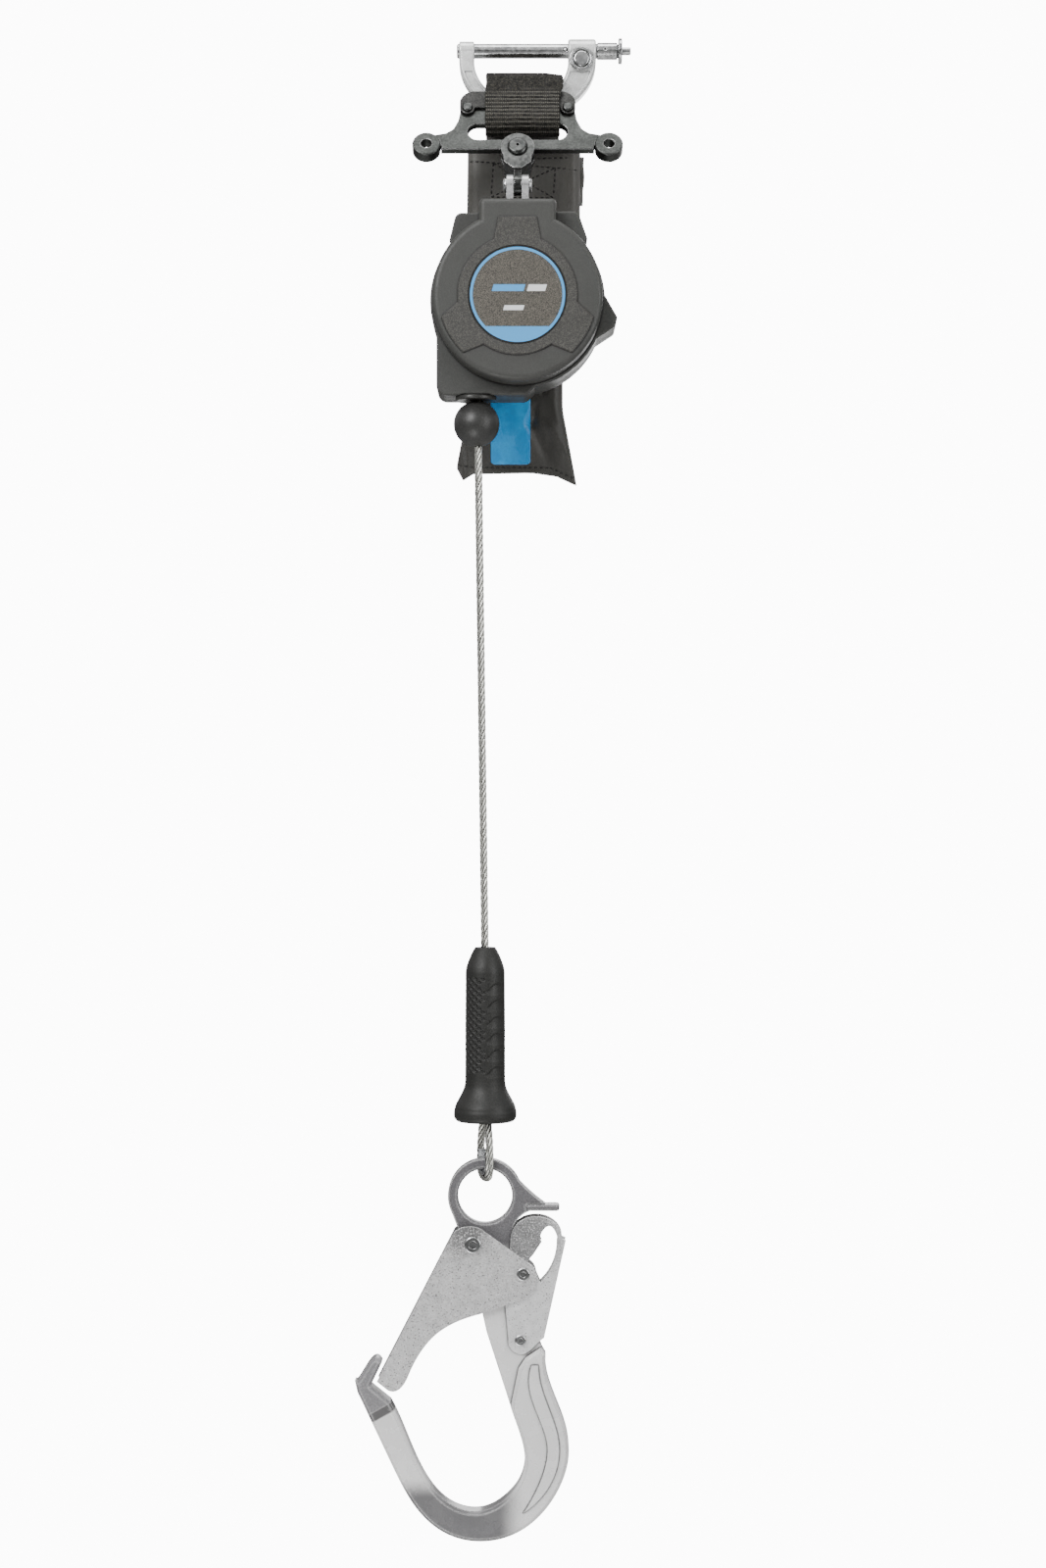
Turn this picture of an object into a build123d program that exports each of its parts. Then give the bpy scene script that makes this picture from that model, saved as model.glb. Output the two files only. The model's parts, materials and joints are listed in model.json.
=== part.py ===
"""Self retracting lifeline: a shackle and connector pin carry a webbing sling with a sewn energy
absorber, a yoke plate, a hanger and a swivel; below them hangs a housing with a spring-loaded drum
of steel cable, and the cable ends in a grip, an eye and a locking hook.

Millimetres. +Z is up, -Y is the front, +X is the side that the connector pin is pulled to.
The origin is on the connector pin's axis, in the middle of the shackle's depth.
"""
from build123d import *
import math
import os

# ---------------------------------------------------------------- driving dimensions
RUN = 0.05            # radial running clearance of a pin in its hole

# shackle and its connector pin
PIN_R = 4.5
EAR_L = (-36.6, -27.2)          # left ear, from and to along X
EAR_R = (31.5, 48.9)            # right ear
EAR_L_R = 5.9
EAR_R_R = 7.3
BALL_X = 29.7                   # detent balls, along the pin
DETENT_R = 1.5
ROLL_X = 54.6                   # roll pin in the collar
BOW_DEPTH = 11.5
BOW_DROP = (35.0, 26.0)         # depth of the bow's outer and inner ellipse
BOW_TOP = -7.0
BUTTON_AT = (39.7, -6.8)        # X and Z of the lock button
BUTTON_FACE = -8.6              # Y of the bezel's front

# webbing and the energy absorber behind the yoke
WEB_X = (-20.0, 26.0)
WEB_T = 2.6
SLEEVE_X = (-31.7, 41.7)
SLEEVE_Y = (7.5, 24.0)
SLEEVE_Z = (-262.0, -58.0)

# yoke plate, tilted so that its lower edge comes forward
TILT = math.radians(25.0)
YOKE_AT = (0.0, -30.0, -68.0)   # middle of the bar
YOKE_T = 4.5
BOSS_X = 56.0
BOSS_R = 8.6
BOSS_T = 8.0
BOSS_BORE_R = 3.4
SLOT = (61.0, 12.0, 10.5)       # length, height and centre above the bar's middle
ARCH_R = 61.0                   # under side of the keeper's arch
ARCH_V = -30.0
KEEPER_TOP = 40.5
LOBE_R = 4.7                    # round end of the keeper at each rivet
KEEPER_T = 2.0
RIVET_AT = (31.0, 27.7)
SWIVEL_V = -5.0                 # the swivel rivet, below the bar's middle
SWIVEL_R = 3.2

# hanger, link pin and swivel clevis
RING_R = 10.3
HANGER_T = 13.6
TONGUE_T = 4.4
LINK_PIN = (-41.0, -94.0)       # Y and Z
LINK_R = 3.0
CLEVIS_GAP = 5.4
CLEVIS_T = 4.0
STEM_R = 4.0
STEM_Z = -124.0
NUT_Z = (-123.0, -118.4)
BRIDGE_Z = (-118.0, -112.0)     # the block that carries the swivel's stem

# housing
MID_Y = -37.0                   # plane of the cable and of the hook
HUB_Z = -165.0
FRONT_Y = -63.0
SPLIT_Y = -45.0
BACK_Y = -12.0
WALL = 2.6
COVER_R = 51.4
BODY_R = 53.2
LUG_HALF = 23.2
LUG_TOP = -106.5
LABEL_R = 29.4
SCREWS_AT = [(-17.5, -120.0), (17.5, -120.0), (-45.6, -179.0), (45.6, -179.0)]
SCREW_BOSS_R = 3.4
FRONT_PLATE_Y = (-49.2, -47.2)
REAR_PLATE_Y = (-22.8, -20.8)
SPACERS_AT = [(-16.6, -113.2), (16.6, -113.2), (-19.2, -206.8), (33.0, -197.0)]
SPACER_R = 2.2
SPACER_RIVET_R = 1.3

# drum, shaft, pawls and ratchet
SHAFT_R = 5.0
ARBOR_R = 7.6
CORE_R = 21.0
FLANGE_R = 41.0
DRUM_Y = (-46.2, -27.8)
FLANGE_T = 1.5
LANES = 3                       # turns of cable side by side
LAYERS = 3
RATCHET_TEETH = 8
TOOTH_TURN = 14.0               # degrees from the right to the first tooth
RATCHET_R = (42.4, 38.0, 46.5)  # tooth root, tooth tip and outside
PAWL_Y = (-27.4, -23.6)
PAWL_PIN_AT = (25.5, -12.0)     # from the drum's centre
PAWL_PIN_R = 2.0

# cable, ball stop and grip
CABLE_D = 4.8
NOZZLE_Z = -225.0
CABLE_TOP_X = -24.44
NECK_R = 7.3                    # the nozzle's neck
LEAD_Z = -213.0                 # where the cable turns towards the drum
GRIP_TOP = (-20.0, -558.8)
GRIP_X = -19.8
CABLE_END_Z = -606.0            # the cable's end in the swaged sleeve
BALL_R = 14.0
BALL_Z = -239.0
EYE_YAW = 18.0
EYE_HALF = 9.2
EYE_LOW = -699.4

# hook
HOOK_EYE = (-19.8, -710.3)
HOOK_EYE_R = (16.5, 22.8)
HOOK_WEB_T = 7.4
BOW_T = 14.0
GATE_PIVOT = (-27.2, -739.3)
GATE_PIN = (3.4, -757.2)
LEVER_PIVOT = (1.7, -797.8)
LEVER_Y = (4.05, 5.85)          # depth of each lever plate from the middle plane
GATE_Y = (6.2, 8.2)
LEVER_SPRING_Y = MID_Y - 1.2    # floor of the spring's pocket
GATE_OPEN = -38.0               # degrees
LEVER_SQUEEZE = -10.0

CABLE_R = CABLE_D / 2


# ---------------------------------------------------------------- helpers
def front(y):
    """The plane at depth y that faces the front: its x is X and its y is Z."""
    return Plane(origin=(0, y, 0), x_dir=(1, 0, 0), z_dir=(0, -1, 0))


def slab(face, y_a, y_b):
    """A flat outline in X and Z, as thick as from y_a to y_b."""
    return extrude(front(max(y_a, y_b)) * face, amount=abs(y_b - y_a))


def rod(r, a, b):
    """A round bar from point a to point b."""
    a = Vector(*a)
    b = Vector(*b)
    return Plane(origin=(a + b) / 2, z_dir=b - a) * Cylinder(r, (b - a).length)


def along_x(r, x_a, x_b, y=0.0, z=0.0):
    return rod(r, (x_a, y, z), (x_b, y, z))


def along_y(r, y_a, y_b, x, z):
    return rod(r, (x, y_a, z), (x, y_b, z))


def along_z(r, z_a, z_b, x, y):
    return rod(r, (x, y, z_a), (x, y, z_b))


def block(x, y, z):
    """A box from three pairs of limits."""
    size = [abs(p[1] - p[0]) for p in (x, y, z)]
    mid = [(p[0] + p[1]) / 2 for p in (x, y, z)]
    return Pos(*mid) * Box(*size)


def outline(points):
    return make_face(Polyline(*points, close=True))


def smooth_outline(*runs):
    """A closed outline of straight runs and splines: a run of two points is straight."""
    edges = []
    for run in runs:
        edges.append(Line(*run) if len(run) == 2 else Spline(*run))
    return make_face(edges)


def rounded(face, radius):
    return fillet(face.vertices(), radius)


def disc(r, x=0.0, z=0.0):
    return Pos(x, z) * Circle(r)


def capsule(r, a, b):
    """A slot's outline, round about points a and b."""
    return SlotCenterPoint(((a[0] + b[0]) / 2, (a[1] + b[1]) / 2), b, 2 * r)


def rect(x_a, x_b, z_a, z_b):
    return Pos((x_a + x_b) / 2, (z_a + z_b) / 2) * Rectangle(abs(x_b - x_a), abs(z_b - z_a))


def ring(r_out, r_in, y_a, y_b, x, z):
    return along_y(r_out, y_a, y_b, x, z) - along_y(r_in, y_a - 1, y_b + 1, x, z)


def coil(r, wire_r, length, turns, at, axis):
    """A helical spring whose axis starts at the point at."""
    pitch = (length - 2 * wire_r) / turns
    path = Helix(pitch=pitch, height=pitch * turns, radius=r)
    section = Plane(origin=path @ 0, z_dir=path % 0) * Circle(wire_r)
    spring = Pos(0, 0, wire_r) * sweep(section, path=path, is_frenet=True)
    return Plane(origin=at, z_dir=axis) * spring


def yoke_plane(v=0.0, w=0.0):
    """The yoke plate's plane: x is X, y runs up the plate and z is its front normal."""
    normal = (0, -math.cos(TILT), math.sin(TILT))
    plane = Plane(origin=YOKE_AT, x_dir=(1, 0, 0), z_dir=normal)
    return Plane(origin=plane.from_local_coords((0, v, w)), x_dir=(1, 0, 0), z_dir=normal)


def yoke_slab(face, w_a, w_b):
    return extrude(yoke_plane(0, w_a) * face, amount=w_b - w_a)


def yoke_rod(r, x, v, w_a, w_b):
    return yoke_plane(v, (w_a + w_b) / 2) * (Pos(x, 0, 0) * Cylinder(r, w_b - w_a))


def yoke_point(v, w):
    """Y and Z of a point v up the plate and w in front of it."""
    at = yoke_plane(v, w).origin
    return (at.Y, at.Z)


def side_slab(points, x_a, x_b):
    """An outline given in Y and Z, as thick as from x_a to x_b."""
    wire = Polyline(*[(x_a, y, z) for y, z in points], close=True)
    return extrude(make_face(wire), amount=x_b - x_a, dir=(1, 0, 0))


# ---------------------------------------------------------------- shackle
def bow_ellipse(x_a, x_b, drop, grow=0.0):
    """Half an ellipse that hangs between two legs."""
    whole = Pos((x_a + x_b) / 2, BOW_TOP) * Ellipse((x_b - x_a) / 2 + grow, drop + grow)
    return whole & rect(-60, 60, BOW_TOP, -60)


def shackle_body():
    out_x, in_x = (EAR_L[0], EAR_R[1]), (EAR_L[1], EAR_R[0])
    out_drop, in_drop = BOW_DROP
    bow = bow_ellipse(*out_x, out_drop) - bow_ellipse(*in_x, in_drop)
    bow += rect(EAR_L[0], EAR_L[1], BOW_TOP, 0) + rect(EAR_R[0], EAR_R[1], BOW_TOP, 0)
    body = slab(bow, -BOW_DEPTH / 2, BOW_DEPTH / 2)
    edges = body.edges().filter_by(lambda e: e.center().Z < BOW_TOP - 6 and abs(e.center().Y) > 5)
    body = chamfer(edges, 1.4)
    inset = bow_ellipse(*out_x, out_drop, -2.4) - bow_ellipse(*in_x, in_drop, 2.2)
    inset &= rect(-60, 60, BOW_TOP - 7, -60)
    for y in (-BOW_DEPTH / 2, BOW_DEPTH / 2):
        body -= slab(inset, y - 0.7, y + 0.7)
    ear_l = fillet(along_x(EAR_L_R, *EAR_L).edges().filter_by(GeomType.CIRCLE), 1.0)
    ear_r = fillet(along_x(EAR_R_R, *EAR_R).edges().filter_by(GeomType.CIRCLE), 1.4)
    bx, bz = BUTTON_AT
    body = body + ear_l + ear_r + along_y(7.4, BUTTON_FACE + 1.0, 0, bx, bz)
    body -= along_x(PIN_R + RUN, -50, 60)
    body -= along_y(5.1, BUTTON_FACE - 1, -3.9, bx, bz)
    body -= along_y(2.6, -5, -3.0, bx, bz)
    return body


def button_bezel():
    bx, bz = BUTTON_AT
    bezel = ring(7.4, 5.5, BUTTON_FACE, BUTTON_FACE + 1.0, bx, bz)
    return chamfer(bezel.edges().group_by(Axis.Y)[0], 0.4)


def lock_button():
    bx, bz = BUTTON_AT
    head = along_y(5.0, BUTTON_FACE - 0.2, -5.6, bx, bz)
    head = fillet(head.edges().group_by(Axis.Y)[0], 1.2)
    return head + along_y(2.5, -5.7, -4.6, bx, bz)


def button_spring():
    """A dished spring washer under the button's head."""
    bx, bz = BUTTON_AT
    profile = Polyline((3.0, 0), (4.7, 1.1), (4.7, 1.5), (3.0, 0.4), close=True)
    washer = revolve(Plane.XZ * make_face(profile), Axis.Z)
    return Plane(origin=(bx, -3.95, bz), z_dir=(0, -1, 0)) * washer


def connector_pin():
    tip = EAR_L[0] - 1.5
    pin = chamfer(along_x(PIN_R, tip, 50).edges().group_by(Axis.X)[0], 0.8)
    pin -= block((tip - 1, tip + 0.9), (-0.8, 0.8), (-6, 6))
    collar = fillet(along_x(5.2, 49.7, 62.2).edges().filter_by(GeomType.CIRCLE), 0.5)
    flange = fillet(along_x(7.9, 63.0, 65.2).edges().filter_by(GeomType.CIRCLE), 0.6)
    pin += collar + along_x(4.2, 62, 63.2) + flange
    pin -= along_x(2.45, 16.0, 66.0)
    pin -= along_y(1.55, -6, 6, BALL_X, 0)
    pin -= along_y(0.9, -6, 6, ROLL_X, 0)
    return pin


def detent_balls():
    out = PIN_R + 0.04 - DETENT_R
    return [Pos(BALL_X, side * out, 0) * Sphere(DETENT_R) for side in (-1, 1)]


def collar_roll_pin():
    pin = along_y(0.9, -4.9, 4.9, ROLL_X, 0) - along_y(0.45, -6, 6, ROLL_X, 0)
    return pin - block((ROLL_X, ROLL_X + 2), (-6, 6), (-0.12, 0.12))


def pin_plunger():
    plunger = along_x(2.4, 24.0, 70.7)
    plunger = chamfer(plunger.edges().group_by(Axis.X)[-1], 0.4)
    plunger -= along_x(4, 27.0, 34.0) - along_x(1.4, 26.0, 35.0)
    return plunger - block((53.3, 58.4), (-4, 4), (-1.0, 1.0))


def plunger_spring():
    return coil(1.7, 0.35, 7.4, 5, (16.3, 0, 0), (1, 0, 0))


# ---------------------------------------------------------------- webbing and absorber
def webbing_loop():
    """A flat band, over the bow, down in front of the keeper and back through the slot."""
    low_v = SLOT[2] + SLOT[1] / 2 - 0.9 - WEB_T / 2
    top_z = -18.6
    a = yoke_point(low_v, 6.4)
    b = (-16.6, top_z)
    c = (11.0, top_z)
    d = (11.0, -47.0)
    e = yoke_point(low_v, -5.0)
    path = FilletPolyline(a, b, c, d, e, radius=[6.0, 6.0, 6.0, 6.0, 2.4], close=True)
    middle = make_face(path)
    outer = offset(middle, WEB_T / 2, kind=Kind.ARC)
    inner = offset(middle, -WEB_T / 2, kind=Kind.ARC)
    side = Plane(origin=(WEB_X[0], 0, 0), x_dir=(0, 1, 0), z_dir=(1, 0, 0))
    return extrude(side * (outer - inner), amount=WEB_X[1] - WEB_X[0])


def absorber_pack():
    """The tear webbing, folded in the sleeve, with the tail that joins it to the loop."""
    x_a, x_b = WEB_X
    pack = block((x_a, x_b), (SLEEVE_Y[0] + 3, SLEEVE_Y[1] - 3), (-215, -70))
    pack = fillet(pack.edges().filter_by(Axis.X), 4.0)
    tail = side_slab([(12.5, -30), (15.5, -30), (17.5, -72), (12.5, -72)], x_a, x_b)
    return pack + tail


def absorber_sleeve():
    """A sewn sleeve, open round the tail at its top, flared at its lower corners."""
    x_a, x_b = SLEEVE_X
    low, top = SLEEVE_Z
    shape = outline([(x_a, top), (x_b, top), (x_b - 2, -150), (28.5, -203), (28.5, -222),
                     (37.3, -270.3), (20, low), (-27, low), (-35, -267), (-39, -259.5),
                     (x_a, -222), (x_a - 1, -150)])
    shape = rounded(shape, 2.5)
    sleeve = slab(shape, *SLEEVE_Y)
    hollow = block((WEB_X[0] - 0.4, WEB_X[1] + 0.4), (SLEEVE_Y[0] + 2.6, SLEEVE_Y[1] - 2.6),
                   (-215.4, top + 1))
    return sleeve - hollow


# ---------------------------------------------------------------- yoke
def keeper_outline(inset=0.0):
    """An arched band with a round lobe at each rivet."""
    half, low, top = RIVET_AT[0] + LOBE_R - inset, RIVET_AT[1], KEEPER_TOP - inset
    band = rect(-half, half, low, top)
    band = fillet(band.vertices().filter_by(lambda p: p.Y > low + 1), 9.0)
    band -= disc(ARCH_R, 0, ARCH_V)
    for side in (-1, 1):
        band += disc(LOBE_R - inset, side * RIVET_AT[0], low)
    return band


def yoke_plate():
    arm = [(0, -3.0), (47, -3.0), (47, 0), (56, 0), (51, 8.2), (44, 9.6), (39.6, 12.8), (36.6, 19.5),
           (35.2, RIVET_AT[1]), (0, RIVET_AT[1])]
    half = outline(arm)
    half = fillet(half.vertices().filter_by(lambda p: p.X > 36 and p.Y > 6.5), 3.5)
    flat = half + mirror(half, about=Plane.YZ)
    flat += keeper_outline(0.7)
    flat += disc(8.5, 0, SWIVEL_V)
    length, height, centre = SLOT
    flat -= Pos(0, centre) * SlotOverall(length, height)
    flat -= disc(SWIVEL_R + RUN, 0, SWIVEL_V)
    plate = yoke_slab(flat, -YOKE_T / 2, YOKE_T / 2)
    faces = plate.faces().sort_by(Axis((0, 0, 0), yoke_plane().z_dir))
    plate = chamfer(faces[-1].edges(), 0.5)
    for side in (-1, 1):
        boss = yoke_rod(BOSS_R, side * BOSS_X, 0, -BOSS_T / 2, BOSS_T / 2)
        boss = fillet(boss.edges().filter_by(GeomType.CIRCLE), 0.9)
        plate += boss
        plate -= yoke_rod(BOSS_BORE_R, side * BOSS_X, 0, -10, 10)
        plate -= yoke_rod(2.0, side * RIVET_AT[0], RIVET_AT[1], -10, 10)
    return plate


def keeper_plate():
    low = YOKE_T / 2
    flat = keeper_outline()
    for side in (-1, 1):
        flat -= disc(2.0, side * RIVET_AT[0], RIVET_AT[1])
    plate = yoke_slab(flat, low, low + KEEPER_T)
    return chamfer(plate.faces().sort_by(Axis((0, 0, 0), yoke_plane().z_dir))[-1].edges(), 0.4)


def keeper_rivets():
    rivets = []
    for side in (-1, 1):
        x, v = side * RIVET_AT[0], RIVET_AT[1]
        face = YOKE_T / 2 + KEEPER_T
        head = yoke_rod(3.3, x, v, face, face + 1.5)
        top = head.edges().sort_by(Axis((0, 0, 0), yoke_plane().z_dir))[-1]
        rivet = fillet(top, 1.2) + yoke_rod(2.0, x, v, -YOKE_T / 2 - 1.2, face + 0.1)
        rivets.append(rivet + yoke_rod(3.2, x, v, -YOKE_T / 2 - 1.2, -YOKE_T / 2))
    return rivets


# ---------------------------------------------------------------- hanger, swivel rivet and link
def hanger():
    """Two rings astride the yoke's lug, which run together into one flat tongue."""
    half = HANGER_T / 2
    gap = YOKE_T / 2 + 0.4
    cheeks = disc(RING_R, 0, SWIVEL_V) + outline([(-9.0, -8), (9.0, -8), (8.2, -16), (-8.2, -16)])
    body = yoke_slab(cheeks, gap, half) + yoke_slab(cheeks, -half, -gap)
    bridge = outline([(-8.6, -12), (8.6, -12), (8.2, -16), (TONGUE_T / 2, -21), (-TONGUE_T / 2, -21),
                      (-8.2, -16)])
    body += yoke_slab(bridge, -half, half) - yoke_rod(9.1, 0, SWIVEL_V, -20, 20)
    shoulder = rect(-8.6, 8.6, -12, -8)
    body += yoke_slab(shoulder, gap, half) + yoke_slab(shoulder, -half, -gap)
    y, z = LINK_PIN
    neck = [yoke_point(-17, 5.6), yoke_point(-17, -5.6), (y + 5.4, z), (y - 5.4, z)]
    body += side_slab(neck, -TONGUE_T / 2, TONGUE_T / 2)
    body += along_x(6.2, -TONGUE_T / 2, TONGUE_T / 2, y, z)
    body -= yoke_rod(SWIVEL_R, 0, SWIVEL_V, -20, 20)
    return body - along_x(LINK_R + RUN, -10, 10, y, z)


def swivel_rivet():
    """The domed rivet through the rings and the lug."""
    half = HANGER_T / 2
    rivet = yoke_rod(SWIVEL_R, 0, SWIVEL_V, -half, half)
    head = yoke_rod(6.2, 0, SWIVEL_V, half, half + 2.2)
    top = head.edges().sort_by(Axis((0, 0, 0), yoke_plane().z_dir))[-1]
    head = fillet(top, 1.9) - yoke_rod(1.0, 0, SWIVEL_V, half + 0.8, half + 4)
    return rivet + head + yoke_rod(5.4, 0, SWIVEL_V, -half - 1.8, -half)


def swivel_clevis():
    """Two cheeks on a round foot, whose stem turns in the housing's bridge."""
    y, z = LINK_PIN
    foot_z = LUG_TOP - 1.0
    cheek = [(y - 6.4, z), (y - 6.2, foot_z - 1), (y + 6.2, foot_z - 1), (y + 6.4, z)]
    body = along_z(8.8, foot_z - 4.0, foot_z, 0, y)
    for side in (-1, 1):
        x_a = side * CLEVIS_GAP / 2
        x_b = x_a + side * CLEVIS_T
        body += side_slab(cheek, min(x_a, x_b), max(x_a, x_b))
        body += along_x(6.5, x_a, x_b, y, z)
    body += along_z(STEM_R, STEM_Z, foot_z - 3.9, 0, y)
    return body - along_x(LINK_R, -20, 20, y, z)


def link_pin():
    """Rivet through the clevis and the tongue, domed at both ends."""
    y, z = LINK_PIN
    out = CLEVIS_GAP / 2 + CLEVIS_T
    pin = along_x(LINK_R, -out, out, y, z)
    for side in (-1, 1):
        head = along_x(4.7, side * out, side * (out + 2.2), y, z)
        rims = head.edges().filter_by(GeomType.CIRCLE).sort_by(Axis.X)
        pin += fillet(rims[-1 if side > 0 else 0], 1.9)
    return pin


def swivel_nut():
    hexagon = Pos(0, LINK_PIN[0], NUT_Z[0]) * RegularPolygon(5.8, 6)
    nut = extrude(hexagon, amount=NUT_Z[1] - NUT_Z[0])
    return nut - along_z(STEM_R, -130, -100, 0, LINK_PIN[0])


# ---------------------------------------------------------------- housing covers
def lug_outline(half, top):
    """The housing's top lug, which flares into the disc at its foot."""
    flare = outline([(-half, top), (half, top), (half, -121), (half + 11, -131), (0, -150),
                     (-half - 11, -131), (-half, -121)])
    corners = flare.vertices().filter_by(lambda p: abs(p.X) > half - 1 and p.Y > -129)
    return fillet(corners, 3.0)


def front_outline(grow=0.0):
    return disc(COVER_R + grow, 0, HUB_Z) + lug_outline(LUG_HALF + grow, LUG_TOP + grow)


def rear_outline(grow=0.0):
    shape = disc(BODY_R, 0, HUB_Z) + lug_outline(LUG_HALF, LUG_TOP)
    ears = outline([(-37.5, -111.5), (36.8, -110.5), (42.5, -127), (38, -145), (-38, -145), (-41.5, -128)])
    shape += fillet(ears.vertices().filter_by(lambda p: p.Y > -113), 4.5)
    beak = outline([(50, -158), (53.4, -162), (60.8, -175), (59.4, -180.5), (45, -190), (35, -180)])
    shape += fillet(beak.vertices().filter_by(lambda p: p.X > 57), 2.4)
    foot = outline([(-49.4, -165), (-49.4, -222.4), (5.5, -222.4), (17, -210.5), (0, -190)])
    shape += fillet(foot.vertices().filter_by(lambda p: p.Y < -215), 6.0)
    return offset(shape, grow, kind=Kind.ARC) if grow else shape


def star():
    """The raised pad of the front cover: a ring with three arms."""
    arm = outline([(-11.6, -118.0), (11.6, -118.0), (14.6, -133.5), (-14.6, -133.5)])
    left = outline([(-35.2, -168.5), (-47.6, -180.0), (-36.6, -201.5), (-20.4, -195.0), (0, -165)])
    return disc(36.2, 0, HUB_Z) + arm + left + mirror(left, about=Plane.YZ)


def front_cover():
    shell = slab(front_outline(), FRONT_Y, SPLIT_Y)
    rim = shell.faces().sort_by(Axis.Y)[0].edges()
    shell = fillet(rim, 3.4)
    shell -= slab(front_outline(-WALL), FRONT_Y + WALL, SPLIT_Y + 1)
    shell += slab(star() & front_outline(-3.6), FRONT_Y - 1.0, FRONT_Y + 0.2)
    pad = shell.faces().sort_by(Axis.Y)[0].edges()
    shell = chamfer(pad, 0.5)
    shell -= along_y(LABEL_R + 0.3, FRONT_Y - 3, FRONT_Y - 0.3, 0, HUB_Z)
    shell -= along_z(9.6, -112, -100, 0, LINK_PIN[0])
    for x, z in SCREWS_AT:
        shell += along_y(SCREW_BOSS_R, FRONT_Y + WALL - 0.2, SPLIT_Y, x, z)
        shell -= along_y(1.5, SPLIT_Y - 9, SPLIT_Y + 1, x, z)
    return shell


def rear_cover():
    shell = slab(rear_outline(), SPLIT_Y, BACK_Y)
    shell = fillet(shell.faces().sort_by(Axis.Y)[-1].edges(), 2.6)
    shell = chamfer(shell.faces().sort_by(Axis.Y)[0].edges(), 0.9)
    shell -= slab(rear_outline(-WALL), SPLIT_Y + WALL, BACK_Y - WALL)
    shell -= slab(front_outline(-WALL), SPLIT_Y - 1, SPLIT_Y + WALL + 0.1)
    shell -= along_z(9.6, -112, -100, 0, LINK_PIN[0])
    for x, z in SCREWS_AT:
        shell += along_y(SCREW_BOSS_R, SPLIT_Y, BACK_Y - 1, x, z)
        shell -= along_y(1.6, SPLIT_Y - 1, BACK_Y + 1, x, z)
        shell -= along_y(3.0, BACK_Y - 3, BACK_Y + 1, x, z)
    return shell - along_z(NECK_R, -235, -210, CABLE_TOP_X, MID_Y)


def cover_screws():
    screws = []
    for x, z in SCREWS_AT:
        screw = along_y(2.8, BACK_Y - 3, BACK_Y - 0.8, x, z)
        screw += along_y(1.45, SPLIT_Y - 8, BACK_Y - 2.9, x, z)
        socket = front(BACK_Y) * (Pos(x, z) * RegularPolygon(1.4, 6))
        screws.append(screw - extrude(socket, amount=2.2))
    return screws


def label_plate():
    plate = along_y(LABEL_R, FRONT_Y - 1.1, FRONT_Y - 0.3, 0, HUB_Z)
    return chamfer(plate.edges().group_by(Axis.Y)[0], 0.2)


# ---------------------------------------------------------------- housing works
def side_plate(y_pair, hole_r):
    """A steel frame plate: it carries one end of the shaft, the bridge and the spacers."""
    shape = disc(45.0, 0, HUB_Z) + rect(-19.4, 19.4, -140, -110.2)
    shape -= disc(hole_r, 0, HUB_Z)
    for x, z in SPACERS_AT:
        shape += disc(SPACER_R + 0.5, x, z)
    for x, z in SPACERS_AT:
        shape -= disc(SPACER_RIVET_R, x, z)
    for angle in (90, 180, 0):
        x = 26 * math.cos(math.radians(angle + 45))
        z = 26 * math.sin(math.radians(angle + 45))
        shape -= disc(7.5, x, HUB_Z + z)
    plate = slab(shape, *y_pair)
    for x, z in SCREWS_AT:
        plate -= along_y(SCREW_BOSS_R + 0.8, y_pair[0] - 1, y_pair[1] + 1, x, z)
    return plate - along_z(9.3, -112.4, -100, 0, LINK_PIN[0])


def swivel_bridge():
    bridge = block((-13.0, 13.0), (FRONT_PLATE_Y[1], REAR_PLATE_Y[0]), BRIDGE_Z)
    return bridge - along_z(STEM_R + RUN, -130, -100, 0, LINK_PIN[0])


def frame_spacers():
    spacers = []
    for x, z in SPACERS_AT:
        tube = along_y(SPACER_R, FRONT_PLATE_Y[1], REAR_PLATE_Y[0], x, z)
        rivet = along_y(SPACER_RIVET_R, FRONT_PLATE_Y[0] - 0.8, REAR_PLATE_Y[1] + 0.8, x, z)
        spacers.append(tube + rivet)
    return spacers


def drum_shaft():
    shaft = along_y(SHAFT_R, -59.2, REAR_PLATE_Y[0], 0, HUB_Z)
    shaft += along_y(SHAFT_R - 0.6, -60.2, REAR_PLATE_Y[1] + 3.2, 0, HUB_Z)
    groove = ring(6, 3.6, REAR_PLATE_Y[1] + 0.4, REAR_PLATE_Y[1] + 1.4, 0, HUB_Z)
    return shaft - groove


def shaft_clip():
    clip = ring(7.2, 3.6, REAR_PLATE_Y[1] + 0.4, REAR_PLATE_Y[1] + 1.4, 0, HUB_Z)
    return clip - slab(rect(-1.8, 1.8, HUB_Z - 9, HUB_Z), -30, -10)


def spring_case():
    case = ring(38.0, 36.4, -59.6, FRONT_PLATE_Y[0], 0, HUB_Z)
    case += ring(38.0, SHAFT_R - 0.6, -60.2, -59.3, 0, HUB_Z)
    return case


def spring_arbor():
    """The drum's hub, which reaches through the front plate to wind the spring."""
    return ring(ARBOR_R, SHAFT_R + RUN, -58.8, DRUM_Y[0], 0, HUB_Z)


def power_spring():
    """A flat strip wound in a spiral, from the shaft to the spring case."""
    turns, r_in, r_out, strip = 9, 8.0, 35.2, 0.7
    steps = turns * 12

    def spiral(grow):
        points = []
        for i in range(steps + 1):
            r = r_in + (r_out - r_in) * i / steps + grow
            turn = 2 * math.pi * turns * i / steps
            points.append((r * math.cos(turn), HUB_Z + r * math.sin(turn)))
        return points
    outer = spiral(strip)
    inner = spiral(0)
    ends = [Line(inner[-1], outer[-1]), Line(outer[0], inner[0])]
    face = make_face([Spline(*inner), Spline(*outer), *ends])
    return slab(face, -58.8, -50.2)


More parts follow.
